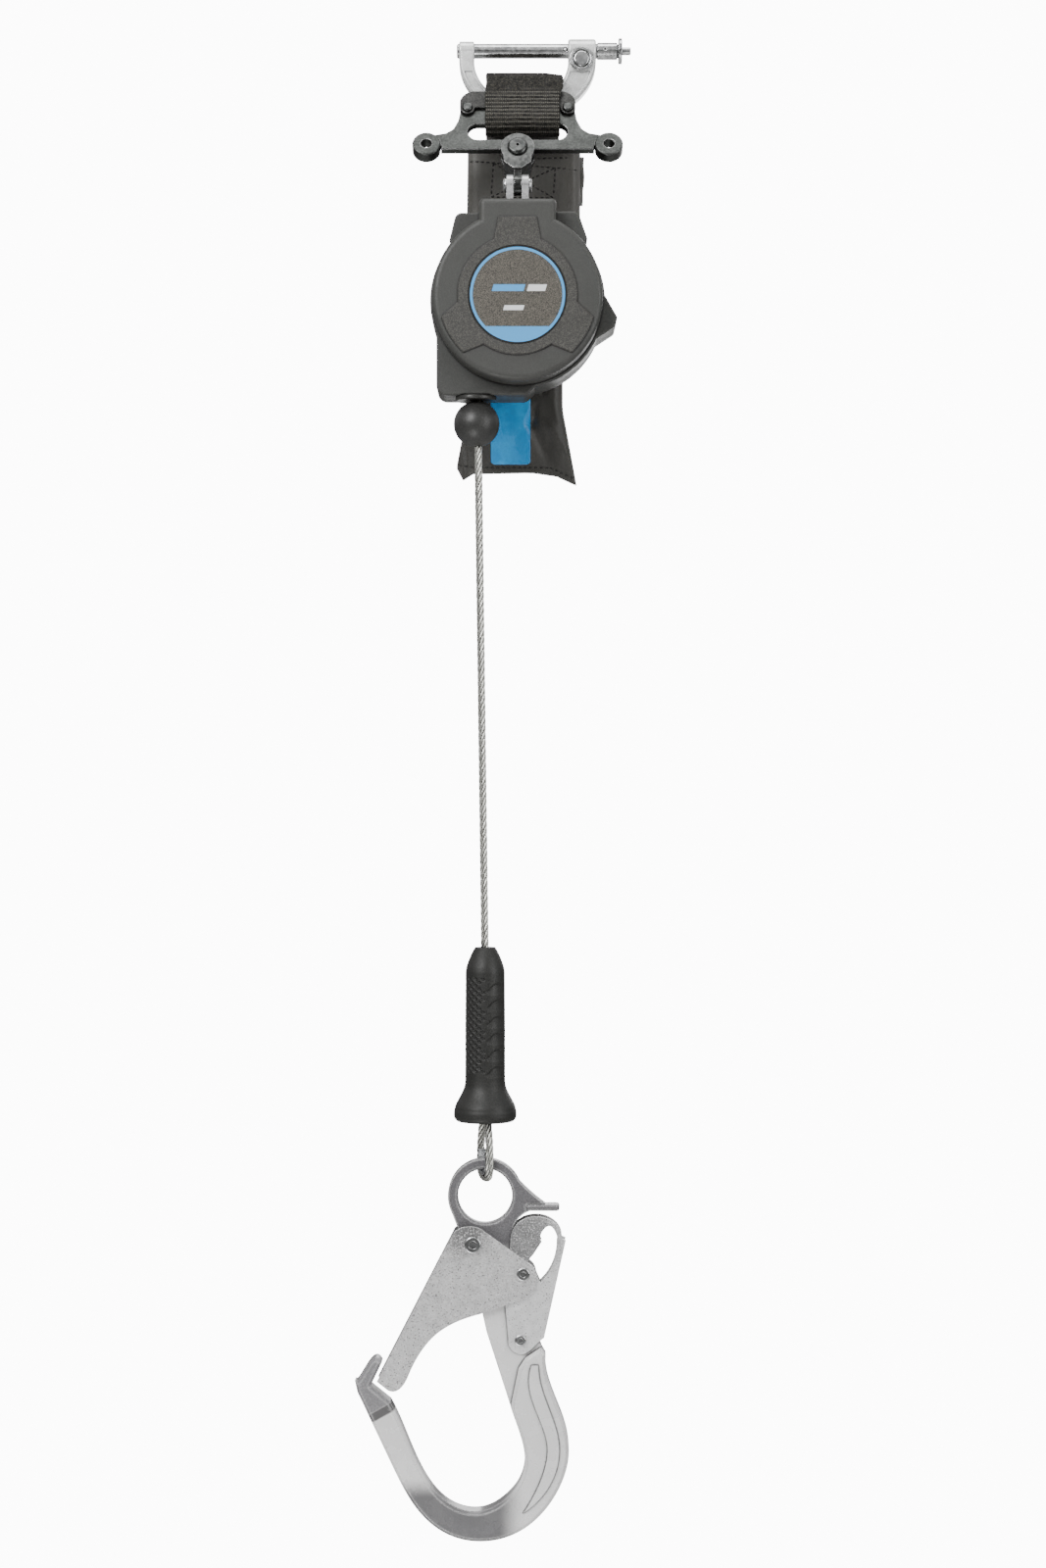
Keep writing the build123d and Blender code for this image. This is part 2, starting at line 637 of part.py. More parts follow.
def ratchet_ring():
    root, tip, out = RATCHET_R
    shape = disc(out, 0, HUB_Z) - disc(root, 0, HUB_Z)
    for i in range(RATCHET_TEETH):
        tooth = outline([(root + 1, -4.5), (root + 1, 5.5), (root - 0.6, 5.0), (tip, -1.0), (tip, -2.6),
                         (root - 0.6, -3.4)])
        shape += Pos(0, HUB_Z) * Rot(0, 0, i * 360 / RATCHET_TEETH + TOOTH_TURN) * tooth
    for x, z in SCREWS_AT:
        shape -= disc(SCREW_BOSS_R + 0.4, x, z)
    for x, z in SPACERS_AT:
        shape -= disc(SPACER_R + 0.3, x, z)
    return slab(shape, PAWL_Y[0] + 0.2, REAR_PLATE_Y[0])


# ---------------------------------------------------------------- drum and pawls
def drum():
    y_a, y_b = DRUM_Y
    body = along_y(FLANGE_R, y_a, y_b, 0, HUB_Z)
    body -= ring(60, CORE_R, y_a + FLANGE_T, y_b - FLANGE_T, 0, HUB_Z)
    body -= along_y(8.0, y_a - 1, y_b + 1, 0, HUB_Z)
    for angle in (30, 150, 270):
        x = 14.0 * math.cos(math.radians(angle))
        z = 14.0 * math.sin(math.radians(angle))
        body -= along_y(3.0, y_a - 1, y_b + 1, x, HUB_Z + z)
    for x, z in pawl_pins_at():
        body -= along_y(PAWL_PIN_R, y_b - 5, y_b + 1, x, z)
    return body


def pawl_pins_at():
    px, pz = PAWL_PIN_AT
    return [(px, HUB_Z + pz), (-px, HUB_Z - pz)]


def drum_bush():
    return ring(8.0, SHAFT_R + RUN, DRUM_Y[0], DRUM_Y[1], 0, HUB_Z)


def layer_radius(layer):
    """Radius of the cable's middle in a layer on the drum, counted from 0."""
    return CORE_R + CABLE_R + 0.02 + layer * CABLE_D


def wound_lifeline():
    """The stored cable, as closed turns side by side."""
    turns = []
    for layer in range(LAYERS):
        for lane in range(LANES):
            y = MID_Y + (lane - (LANES - 1) / 2) * (CABLE_D + 0.2)
            r = layer_radius(layer)
            turns.append(Plane(origin=(0, y, HUB_Z), z_dir=(0, 1, 0)) * Torus(r, CABLE_R - 0.02))
    return turns


def pawl(side):
    """A hooked dog on the drum's rear flange, held in by its spring and thrown out by speed."""
    heel, nose = (19.0, 13.0), (36.4, 2.6)
    px, pz = PAWL_PIN_AT
    shape = outline([(px - 4, pz - 3.4), (px + 3.6, pz - 2.2), (nose[0], nose[1] - 3.4), nose,
                     (nose[0] - 5.2, nose[1] + 2.6), (heel[0] + 4, heel[1]), heel, (px - 6, pz + 6)])
    shape += disc(4.6, px, pz)
    shape -= disc(PAWL_PIN_R + RUN, px, pz)
    body = slab(shape, *PAWL_Y)
    body = Rot(0, 0 if side > 0 else 180, 0) * body
    return Pos(0, 0, HUB_Z) * body


def pawl_pins():
    pins = []
    for x, z in pawl_pins_at():
        pin = along_y(PAWL_PIN_R, DRUM_Y[1] - FLANGE_T, PAWL_Y[1] + 0.3, x, z)
        pins.append(pin + along_y(3.0, PAWL_Y[1] + 0.1, PAWL_Y[1] + 0.6, x, z))
    return pins


# ---------------------------------------------------------------- cable way, ball stop and line
def cable_axis(z):
    """X of the hanging cable at height z."""
    x_b, z_b = GRIP_TOP
    return CABLE_TOP_X + (x_b - CABLE_TOP_X) * (NOZZLE_Z - z) / (NOZZLE_Z - z_b)


def cable_nozzle():
    """The flanged guide in the housing's foot, flared at both ends."""
    x = CABLE_TOP_X
    body = along_z(12.3, NOZZLE_Z, -222.4, x - 1.2, MID_Y)
    body = fillet(body.edges().filter_by(GeomType.CIRCLE), 0.8)
    body += along_z(NECK_R, -222.5, -214.0, x, MID_Y)
    body -= along_z(CABLE_R + 0.8, -230, -210, x, MID_Y)
    mouth = Pos(x, MID_Y, -216.0) * Cone(CABLE_R + 0.8, CABLE_R + 4.0, 4.2)
    return body - mouth


def tangent_point(radius):
    """Where the cable leaves a turn of this radius, on its way to the nozzle."""
    dx, dz = CABLE_TOP_X, LEAD_Z - HUB_Z
    reach = math.hypot(dx, dz)
    toward = math.atan2(dz, dx)
    turn = math.acos(radius / reach)
    return (radius * math.cos(toward - turn), HUB_Z + radius * math.sin(toward - turn))


def lead_in_cable():
    """The cable's run from the top of the stored turns down into the nozzle."""
    radius = layer_radius(LAYERS) + 0.35
    x, z = tangent_point(radius)
    turn_r = 30.0
    foot = (CABLE_TOP_X, MID_Y, NOZZLE_Z + 1.0)
    run = FilletPolyline(foot, (CABLE_TOP_X, MID_Y, LEAD_Z), (x, MID_Y, z), radius=turn_r)
    start = math.degrees(math.atan2(z - HUB_Z, x))
    middle, last = [math.radians(start - turn) for turn in (110, 220)]
    wrap = ThreePointArc((x, MID_Y, z),
                         (radius * math.cos(middle), MID_Y, HUB_Z + radius * math.sin(middle)),
                         (radius * math.cos(last), MID_Y, HUB_Z + radius * math.sin(last)))
    print("lead-in arc radii", turn_r, "and", round(radius, 2))
    section = Plane(origin=run @ 0, z_dir=run % 0) * Circle(CABLE_R - 0.02)
    return sweep(section, path=Wire([*run.edges(), *wrap.edges()]))


def payout_cable():
    """The stretch between the nozzle and the ball stop, which grows as the line is pulled."""
    return along_z(CABLE_R - 0.06, NOZZLE_Z - 1.9, NOZZLE_Z + 1.0, CABLE_TOP_X, MID_Y)


def ball_stop():
    x = cable_axis(BALL_Z)
    ball = Pos(x - 0.8, MID_Y, BALL_Z) * Sphere(BALL_R)
    ball -= block((x - 30, x + 30), (MID_Y - 30, MID_Y + 30), (NOZZLE_Z - 0.4, NOZZLE_Z + 20))
    ball -= rod(CABLE_R, (cable_axis(-220), MID_Y, -220), (cable_axis(-260), MID_Y, -260))
    ball -= rod(4.4, (cable_axis(-231), MID_Y, -231), (cable_axis(-246), MID_Y, -246))
    return ball


def stop_ferrule():
    sleeve = rod(4.4, (cable_axis(-231), MID_Y, -231), (cable_axis(-246), MID_Y, -246))
    return sleeve - rod(CABLE_R, (cable_axis(-220), MID_Y, -220), (cable_axis(-260), MID_Y, -260))


def lifeline_cable():
    top = NOZZLE_Z - 2.0
    return rod(CABLE_R, (cable_axis(top), MID_Y, top), (cable_axis(CABLE_END_Z), MID_Y, CABLE_END_Z))


def grip_profile():
    """Radius and height of the grip's outside, from its top to its lip."""
    return [(6.2, -558.8), (6.6, -564.0), (12.0, -571.4), (12.3, -606.0), (12.3, -641.4), (14.4, -650.5),
            (19.0, -658.7), (19.2, -661.8), (17.4, -664.7)]


def handle_grip():
    wall = grip_profile()
    inside = [(16.6, -664.7), (15.6, -660.5), (10.6, -650.0), (8.6, -645.0), (7.4, -642.0), (7.4, -599.0),
              (3.2, -596.0), (3.2, -558.8)]
    profile = make_face(Polyline(*wall, *inside, close=True))
    grip = revolve(Plane.XZ * profile, Axis.Z)
    return Pos(GRIP_X, MID_Y, 0) * grip


def swage_ferrule():
    """The pressed sleeve that closes the eye, inside the grip."""
    oval = Rot(0, 0, -EYE_YAW) * Ellipse(5.0, 7.35)
    body = extrude(Pos(GRIP_X, MID_Y, -655.0) * oval, amount=56.0)
    body &= along_z(7.3, -660, -590, GRIP_X, MID_Y)
    body -= rod(CABLE_R, (cable_axis(CABLE_END_Z), MID_Y, CABLE_END_Z), (cable_axis(-590), MID_Y, -590))
    return body - eye_tube(CABLE_R)


def eye_path(half, low, top, top_half):
    """The eye's outline in its own plane, as points across and up."""
    return [(top_half, top), (top_half, top - 8), (half, low + 2.3 * half), (half, low), (-half, low),
            (-half, low + 2.3 * half), (-top_half, top - 8), (-top_half, top)]


def eye_plane():
    yaw = math.radians(EYE_YAW)
    return Plane(origin=(GRIP_X, MID_Y, 0), x_dir=(math.sin(yaw), -math.cos(yaw), 0),
                 z_dir=(-math.cos(yaw), -math.sin(yaw), 0))


def eye_tube(r):
    points = eye_path(EYE_HALF, EYE_LOW, -650.0, 2.5)
    radii = [14.0, 14.0, EYE_HALF * 0.98, EYE_HALF * 0.98, 14.0, 14.0]
    path = FilletPolyline(*points, radius=radii)
    path = eye_plane().location * path
    section = Plane(origin=path @ 0, z_dir=path % 0) * Circle(r)
    return sweep(section, path=path)


def cable_eye():
    print("eye arc radii 14.0 and", round(EYE_HALF * 0.98, 2))
    return eye_tube(CABLE_R)


def thimble():
    """The channel that lines the eye."""
    half = EYE_HALF - CABLE_R + 0.8
    low, top = EYE_LOW + CABLE_R - 0.8, EYE_LOW + 16.5
    corner = half * 0.98
    lining = rounded_foot(half, low, top, corner)
    lining -= rounded_foot(half - 1.6, low + 1.6, top + 1, corner - 1.6)
    return extrude(eye_plane() * lining, amount=2.3, both=True) - eye_tube(CABLE_R)


def rounded_foot(half, low, top, radius):
    """An upright outline with a flat top and a round foot."""
    sides = [(half, top), (half, low), (-half, low), (-half, top)]
    foot = FilletPolyline(*sides, radius=radius)
    return make_face([*foot.edges(), Line(sides[-1], sides[0])])


# ---------------------------------------------------------------- hook
def hook_web():
    """The flat of the hook: its eye, its thumb horn and the web down to the bow."""
    ex, ez = HOOK_EYE
    flat = disc(HOOK_EYE_R[1], ex, ez)
    flat += smooth_outline([(-7.0, -691.5), (-1.0, -699.0), (8.0, -708.0), (17.0, -715.2)],
                           [(17.0, -715.2), (17.0, -718.9)],
                           [(17.0, -718.9), (8.0, -719.2), (1.6, -723.0), (-2.6, -730.0)],
                           [(-2.6, -730.0), (-19.8, -730.0)], [(-19.8, -730.0), (-7.0, -691.5)])
    flat += outline([(-41.5, -717.0), (-36.5, -730.0), (-34.2, -742.0), (-29.5, -753.0), (-21.5, -781.8),
                     (-19.0, -793.0), (-4.3, -838.6), (6, -838), (14.6, -801.6), (6.0, -786.0),
                     (-1.6, -768.0), (-1.8, -745.0), (-2.6, -729.0), (-19.8, -726.0)])
    flat += disc(7.0, *GATE_PIVOT)
    flat -= disc(HOOK_EYE_R[0], ex, ez)
    return flat


def hook_bow():
    """The outline of the hook's thick bow, from below the lever round to the nose."""
    outer = [(17.2, -806.8), (18.6, -821.0), (25.0, -838.6), (30.3, -855.0), (31.2, -868.8), (27.5, -883.5),
             (18.1, -899.8), (4.3, -912.7), (-9.5, -918.9), (-21.5, -920.6), (-37.0, -918.5),
             (-52.5, -910.0), (-64.6, -896.3), (-75.8, -875.6), (-90.4, -844.7), (-97.6, -829.6)]
    inner = [(-77.5, -835.2), (-69.7, -851.5), (-56.6, -880.5), (-44.4, -895.4), (-31.5, -901.6),
             (-19.8, -901.4), (-7.7, -894.6), (1.0, -884.3), (4.3, -872.2), (2.7, -859.6), (-4.3, -838.6)]
    return smooth_outline(outer, [outer[-1], (-99.2, -822.6)],
                          [(-99.2, -822.6), (-89.6, -810.6), (-86.4, -808.4), (-82.6, -811.4)],
                          [(-82.6, -811.4), (-89.4, -825.6)], [(-89.4, -825.6), inner[0]], inner,
                          [inner[-1], (0.6, -815.0)], [(0.6, -815.0), (4.6, -808.8)],
                          [(4.6, -808.8), (14.4, -802.2)], [(14.4, -802.2), outer[0]])


def hook_frame():
    web = slab(hook_web(), MID_Y - HOOK_WEB_T / 2, MID_Y + HOOK_WEB_T / 2)
    rims = web.edges().filter_by(GeomType.CIRCLE).filter_by(
        lambda e: abs(e.radius - HOOK_EYE_R[0]) < 0.1)
    web = chamfer(rims, 1.2)
    bow = slab(hook_bow(), MID_Y - BOW_T / 2, MID_Y + BOW_T / 2)
    faces = bow.faces().sort_by(Axis.Y)
    bow = chamfer(faces[0].edges() + faces[-1].edges(), 1.9)
    pad = smooth_outline([(8.4, -812.5), (7.0, -826.0), (13.0, -845.0), (18.0, -862.0), (15.0, -880.0),
                          (3.0, -903.0)],
                         [(3.0, -903.0), (15.5, -892.0), (23.2, -878.0), (25.4, -862.0), (21.4, -845.0),
                          (14.6, -826.0), (12.8, -812.5)], [(12.8, -812.5), (8.4, -812.5)])
    for side in (-1, 1):
        face = MID_Y + side * BOW_T / 2
        bow += slab(pad, face - 0.9, face + 0.9)
    horn = block((4.6, 25.6), (MID_Y - 6.0, MID_Y + 6.0), (-719.2, -715.4))
    horn = fillet(horn.edges().filter_by(Axis.Z), 3.0)
    horn = fillet(horn.edges().filter_by(lambda e: e.length > 9 and abs(e.tangent_at(0).Z) < 0.1), 1.2)
    body = web + bow + horn
    body -= along_y(2.6, -60, -10, *GATE_PIVOT)
    body -= along_y(5.6, LEVER_SPRING_Y, MID_Y + 20, *LEVER_PIVOT)
    return body - along_y(2.3, -60, -10, *LEVER_PIVOT)


def lever_spring():
    x, z = LEVER_PIVOT
    return coil(4.2, 0.45, 4.6, 4, (x, LEVER_SPRING_Y + 0.1, z), (0, 1, 0))


def gate_springs():
    """A torsion coil round the gate's rivet, on each side of the web."""
    x, z = GATE_PIVOT
    near, far = HOOK_WEB_T / 2 + 0.1, GATE_Y[0] - 0.1
    return [coil(3.8, 0.45, far - near, 2, (x, MID_Y + near, z), (0, 1, 0)),
            coil(3.8, 0.45, far - near, 2, (x, MID_Y - near, z), (0, -1, 0))]


def both_sides(face, y_pair):
    """Two plates of one outline, one each side of the hook's middle plane."""
    near, far = y_pair
    return slab(face, MID_Y - far, MID_Y - near) + slab(face, MID_Y + near, MID_Y + far)


def gate_outline():
    spine = [(-38.6, -731.5), (-80.2, -812.0), (-85.6, -822.6)]
    return smooth_outline([spine[0], (-33.5, -728.8), (-28.4, -728.2), (-21.5, -730.2)],
                          [(-21.5, -730.2), (6.6, -750.6)],
                          [(6.6, -750.6), (10.9, -755.6), (11.0, -763.0), (7.2, -769.4), (0.6, -773.2)],
                          [(0.6, -773.2), (-23.3, -781.6)],
                          [(-23.3, -781.6), (-37.0, -786.2), (-49.0, -793.4), (-59.4, -805.4),
                           (-66.3, -818.8)],
                          [(-66.3, -818.8), (-69.4, -824.6), (-73.2, -828.0), (-79.0, -827.8)],
                          [(-79.0, -827.8), spine[2]], [spine[2], spine[1]], [spine[1], spine[0]])


def gate():
    """A folded gate: two side plates joined by a spine along its outer edge."""
    plates = both_sides(gate_outline(), GATE_Y)
    band = outline([(-44.4, -747.5), (-60, -740), (-95, -812), (-81.5, -818.0)])
    plates += slab(gate_outline() & band, MID_Y - GATE_Y[0], MID_Y + GATE_Y[0])
    plates -= along_y(2.6 + RUN, -60, -10, *GATE_PIVOT)
    return plates - along_y(2.2, -60, -10, *GATE_PIN)


def rivet_across(r, head_r, y_half, at, dimple):
    """A rivet along Y with a rounded, dimpled head at each end."""
    x, z = at
    rivet = along_y(r, MID_Y - y_half, MID_Y + y_half, x, z)
    for side in (-1, 1):
        head = along_y(head_r, MID_Y + side * y_half, MID_Y + side * (y_half + 1.3), x, z)
        rim = head.edges().filter_by(GeomType.CIRCLE).sort_by(Axis.Y)[-1 if side > 0 else 0]
        head = fillet(rim, 1.0)
        tip = MID_Y + side * (y_half + 0.6)
        rivet += head - along_y(dimple, tip, tip + side * 2, x, z)
    return rivet


def gate_rivet():
    return rivet_across(2.6, 5.2, GATE_Y[1] + 0.1, GATE_PIVOT, 2.4)


def gate_lock_pin():
    return rivet_across(2.2, 4.2, GATE_Y[1], GATE_PIN, 1.7)


def lever_rivet():
    return rivet_across(2.3, 3.6, LEVER_Y[1] + 0.1, LEVER_PIVOT, 1.5)


def lever_point(opening):
    """Where the gate's lock pin stands in the lever's own frame, as the gate opens and the
    lever follows. opening runs from 0 to 1."""
    gate_turn = math.radians(GATE_OPEN * opening)
    dx, dz = GATE_PIN[0] - GATE_PIVOT[0], GATE_PIN[1] - GATE_PIVOT[1]
    x = GATE_PIVOT[0] + dx * math.cos(gate_turn) + dz * math.sin(gate_turn)
    z = GATE_PIVOT[1] - dx * math.sin(gate_turn) + dz * math.cos(gate_turn)
    lever_turn = -math.radians(LEVER_SQUEEZE * opening)
    dx, dz = x - LEVER_PIVOT[0], z - LEVER_PIVOT[1]
    return (LEVER_PIVOT[0] + dx * math.cos(lever_turn) + dz * math.sin(lever_turn),
            LEVER_PIVOT[1] - dx * math.sin(lever_turn) + dz * math.cos(lever_turn))


def lever_outline():
    flat = smooth_outline([(-4.3, -738.0), (-3.0, -731.0), (1.0, -725.6), (7.5, -722.9), (19.0, -724.2),
                           (25.4, -729.6), (27.0, -736.0)],
                          [(27.0, -736.0), (29.4, -737.0)], [(29.4, -737.0), (16.2, -796.4)],
                          [(16.2, -796.4), (10.3, -801.4), (2.0, -806.4), (-4.2, -802.8), (-5.6, -797.0)],
                          [(-5.6, -797.0), (-7.4, -777.5)], [(-7.4, -777.5), (-4.3, -738.0)])
    flat -= smooth_outline([(23.9, -738.0), (23.0, -732.0), (19.4, -728.3), (15.8, -730.6), (14.9, -738.0)],
                           [(14.9, -738.0), (13.6, -745.0), (9.8, -754.0)],
                           [(9.8, -754.0), (13.8, -762.8)],
                           [(13.8, -762.8), (20.4, -754.0), (23.9, -738.0)])
    shut, half, full = [lever_point(opening) for opening in (0, 0.5, 1)]
    return flat - capsule(2.75, shut, half) - capsule(2.75, half, full)


def lock_lever():
    """A folded lever: two plates joined by a spine along its outer edge."""
    plates = both_sides(lever_outline(), LEVER_Y)
    band = outline([(27.2, -740.0), (40, -740), (30, -790), (16.0, -790)])
    plates += slab(lever_outline() & band, MID_Y - LEVER_Y[0], MID_Y + LEVER_Y[0])
    return plates - along_y(2.3 + RUN, -60, -10, *LEVER_PIVOT)


# ---------------------------------------------------------------- write every node
NODES = {
    "shackle_body": shackle_body, "button_bezel": button_bezel, "lock_button": lock_button,
    "button_spring": button_spring, "connector_pin": connector_pin, "detent_balls": detent_balls,
    "collar_roll_pin": collar_roll_pin, "pin_plunger": pin_plunger, "plunger_spring": plunger_spring,
    "webbing_loop": webbing_loop, "absorber_pack": absorber_pack, "absorber_sleeve": absorber_sleeve,
    "yoke_plate": yoke_plate, "keeper_plate": keeper_plate, "keeper_rivets": keeper_rivets,
    "hanger": hanger, "swivel_rivet": swivel_rivet, "swivel_clevis": swivel_clevis,
    "link_pin": link_pin, "swivel_nut": swivel_nut, "front_cover": front_cover,
    "rear_cover": rear_cover, "cover_screws": cover_screws, "label_plate": label_plate,
    "front_side_plate": lambda: side_plate(FRONT_PLATE_Y, ARBOR_R + 0.5),
    "rear_side_plate": lambda: side_plate(REAR_PLATE_Y, SHAFT_R - 0.6),
    "swivel_bridge": swivel_bridge, "frame_spacers": frame_spacers, "drum_shaft": drum_shaft,
    "shaft_clip": shaft_clip, "spring_case": spring_case, "power_spring": power_spring,
    "spring_arbor": spring_arbor, "ratchet_ring": ratchet_ring, "drum": drum, "drum_bush": drum_bush,
    "wound_lifeline": wound_lifeline, "pawl_a": lambda: pawl(1), "pawl_b": lambda: pawl(-1),
    "pawl_pins": pawl_pins, "cable_nozzle": cable_nozzle, "lead_in_cable": lead_in_cable,
    "payout_cable": payout_cable, "ball_stop": ball_stop, "stop_ferrule": stop_ferrule,
    "lifeline_cable": lifeline_cable, "handle_grip": handle_grip, "swage_ferrule": swage_ferrule,
    "cable_eye": cable_eye, "thimble": thimble, "hook_frame": hook_frame, "gate": gate,
    "gate_rivet": gate_rivet, "gate_lock_pin": gate_lock_pin, "lock_lever": lock_lever,
    "lever_rivet": lever_rivet, "gate_springs": gate_springs, "lever_spring": lever_spring,
}


def main():
    os.makedirs("parts", exist_ok=True)
    for name, make in NODES.items():
        made = make()
        pieces = made if isinstance(made, list) else made.solids()
        solid = pieces[0] if len(pieces) == 1 else Compound(children=list(pieces))
        solid.label = name
        export_step(solid, f"parts/{name}.step")
        print(name, len(pieces), "solid" if len(pieces) == 1 else "solids")


main()
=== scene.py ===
"""Looks of the self retracting lifeline: stranded cable, woven webbing, a sewn sleeve, a moulded
grip, a printed label and the finishes of every metal and plastic piece.

Metres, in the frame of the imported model: +Z up, -Y the front, the origin on the connector pin.
"""

import json
import math

import bpy
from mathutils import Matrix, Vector, noise

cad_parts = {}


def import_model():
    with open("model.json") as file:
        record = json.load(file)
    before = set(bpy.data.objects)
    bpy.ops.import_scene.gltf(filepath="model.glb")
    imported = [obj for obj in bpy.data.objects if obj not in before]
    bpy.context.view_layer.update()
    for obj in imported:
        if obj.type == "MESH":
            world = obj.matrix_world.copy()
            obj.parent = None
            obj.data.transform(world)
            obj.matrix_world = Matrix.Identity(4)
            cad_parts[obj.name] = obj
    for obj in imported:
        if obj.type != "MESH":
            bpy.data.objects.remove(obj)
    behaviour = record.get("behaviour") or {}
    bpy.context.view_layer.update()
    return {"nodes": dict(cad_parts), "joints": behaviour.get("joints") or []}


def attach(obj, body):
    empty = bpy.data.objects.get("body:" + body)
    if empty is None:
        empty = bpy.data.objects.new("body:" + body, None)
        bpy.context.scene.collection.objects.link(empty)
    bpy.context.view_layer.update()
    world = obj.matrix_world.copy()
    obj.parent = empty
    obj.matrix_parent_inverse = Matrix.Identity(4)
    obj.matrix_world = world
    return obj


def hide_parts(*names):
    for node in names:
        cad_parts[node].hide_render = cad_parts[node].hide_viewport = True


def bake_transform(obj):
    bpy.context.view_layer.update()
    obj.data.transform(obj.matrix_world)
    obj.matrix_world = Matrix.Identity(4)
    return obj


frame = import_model()

MM = 0.001
MID_Y = -37.0 * MM                   # plane of the cable, the grip and the hook
HUB_Z = -165.0 * MM                  # centre of the round housing
PAYOUT = next(j for j in frame["joints"] if j["name"] == "line_payout")


# ---------------------------------------------------------------- camera, light and floor
CAMERA_AT = (0.0033, -1.535, -0.459)
LENS, SENSOR = 56.25, 36.0           # millimetres
FLOOR_Z, FLOOR_R = -3.15, 4.5        # below the hook even when all the cable is out
SKY = [(0.0, 0.10), (0.30, 0.55), (0.44, 0.10), (0.50, 0.22), (0.60, 0.60), (0.74, 1.0), (1.0, 0.25)]


def point_at(obj, target):
    obj.rotation_mode = "QUATERNION"
    obj.rotation_quaternion = (Vector(target) - obj.location).to_track_quat("-Z", "Y")


def add_camera():
    data = bpy.data.cameras.new("camera")
    data.lens = LENS
    data.sensor_width = SENSOR
    data.clip_start, data.clip_end = 0.05, 50.0
    camera = bpy.data.objects.new("camera", data)
    camera.location = CAMERA_AT
    bpy.context.scene.collection.objects.link(camera)
    point_at(camera, camera.location + Vector((0, 1, 0)))
    bpy.context.scene.camera = camera


def add_light(name, at, target, size, watts):
    data = bpy.data.lights.new(name, "AREA")
    data.shape = "RECTANGLE"
    data.size, data.size_y = size
    data.energy = watts
    light = bpy.data.objects.new(name, data)
    light.location = at
    bpy.context.scene.collection.objects.link(light)
    point_at(light, target)


def add_world():
    """White where it is seen. SKY gives the grey that surfaces reflect, from straight below (0) to
    straight above (1)."""
    world = bpy.data.worlds.new("studio")
    bpy.context.scene.world = world
    world.use_nodes = True
    tree = world.node_tree
    tree.nodes.clear()

    def node(kind, **inputs):
        made = tree.nodes.new("ShaderNode" + kind)
        for key, value in inputs.items():
            made.inputs[key].default_value = value
        return made
    coords = node("TexCoord")
    split = node("SeparateXYZ")
    ramp = node("ValToRGB")
    while len(ramp.color_ramp.elements) < len(SKY):
        ramp.color_ramp.elements.new(0.5)
    for element, (place, grey) in zip(ramp.color_ramp.elements, SKY):
        element.position = place
        element.color = (grey, grey, grey, 1)
    height = node("MapRange", **{"From Min": -1.0, "From Max": 1.0})
    reflected = node("Background", Strength=0.75)
    seen = node("Background", Color=(1, 1, 1, 1), Strength=12.0)
    path = node("LightPath")
    mixed = node("MixShader")
    out = node("OutputWorld")
    links = [(coords.outputs["Generated"], split.inputs[0]),
             (split.outputs["Z"], height.inputs["Value"]),
             (height.outputs[0], ramp.inputs[0]),
             (ramp.outputs[0], reflected.inputs["Color"]),
             (path.outputs["Is Camera Ray"], mixed.inputs[0]),
             (reflected.outputs[0], mixed.inputs[1]),
             (seen.outputs[0], mixed.inputs[2]),
             (mixed.outputs[0], out.inputs["Surface"])]
    for a, b in links:
        tree.links.new(a, b)


def add_floor():
    """A pale round floor."""
    bpy.ops.mesh.primitive_circle_add(vertices=96, radius=FLOOR_R, fill_type="NGON",
                                      location=(0, 0, FLOOR_Z))
    floor = bpy.context.object
    floor.name = "floor"
    finish = bpy.data.materials.new("floor")
    finish.use_nodes = True
    shader = finish.node_tree.nodes["Principled BSDF"]
    shader.inputs["Base Color"].default_value = (0.9, 0.9, 0.89, 1)
    shader.inputs["Roughness"].default_value = 0.9
    floor.data.materials.append(finish)


add_camera()
add_world()
add_floor()
add_light("key", (-1.1, -1.7, 0.75), (0, 0, -0.40), (1.1, 1.3), 46)
add_light("fill", (1.5, -1.2, -0.1), (0, 0, -0.45), (0.7, 1.6), 17)
add_light("top", (0.1, -0.3, 1.3), (0, 0, -0.3), (1.3, 0.8), 15)
add_light("low", (-0.5, -1.2, -1.9), (0, 0, -0.7), (1.0, 0.8), 12)
add_light("back", (0.4, 1.8, 0.2), (0, 0, -0.4), (1.4, 1.6), 26)


# ---------------------------------------------------------------- mesh helpers
def new_mesh(name, verts, faces):
    mesh = bpy.data.meshes.new(name)
    mesh.from_pydata([tuple(v) for v in verts], [], faces)
    mesh.validate()
    mesh.shade_smooth()
    piece = bpy.data.objects.new(name, mesh)
    bpy.context.scene.collection.objects.link(piece)
    return piece


def grid_faces(rows, columns, start=0, close_rows=False, close_columns=False):
    """Quads over a grid of points that are stored row by row."""
    faces = []
    for i in range(rows if close_rows else rows - 1):
        for j in range(columns if close_columns else columns - 1):
            a, b = start + i * columns, start + (i + 1) % rows * columns
            k = (j + 1) % columns
            faces.append((a + j, a + k, b + k, b + j))
    return faces


def tube_faces(rows, sides, start=0):
    """Faces of a tube with closed ends through rows of points, each row once round."""
    first, last = range(start, start + sides), range(start + (rows - 1) * sides, start + rows * sides)
    return grid_faces(rows, sides, start, close_columns=True) + [tuple(reversed(first)), tuple(last)]


def add_tube(rings, verts, faces):
    """Adds a tube with closed ends through the given rings of points."""
    faces.extend(tube_faces(len(rings), len(rings[0]), len(verts)))
    for ring in rings:
        verts.extend(ring)


def smoothstep(low, high, value):
    t = min(max((value - low) / (high - low), 0.0), 1.0)
    return t * t * (3 - 2 * t)


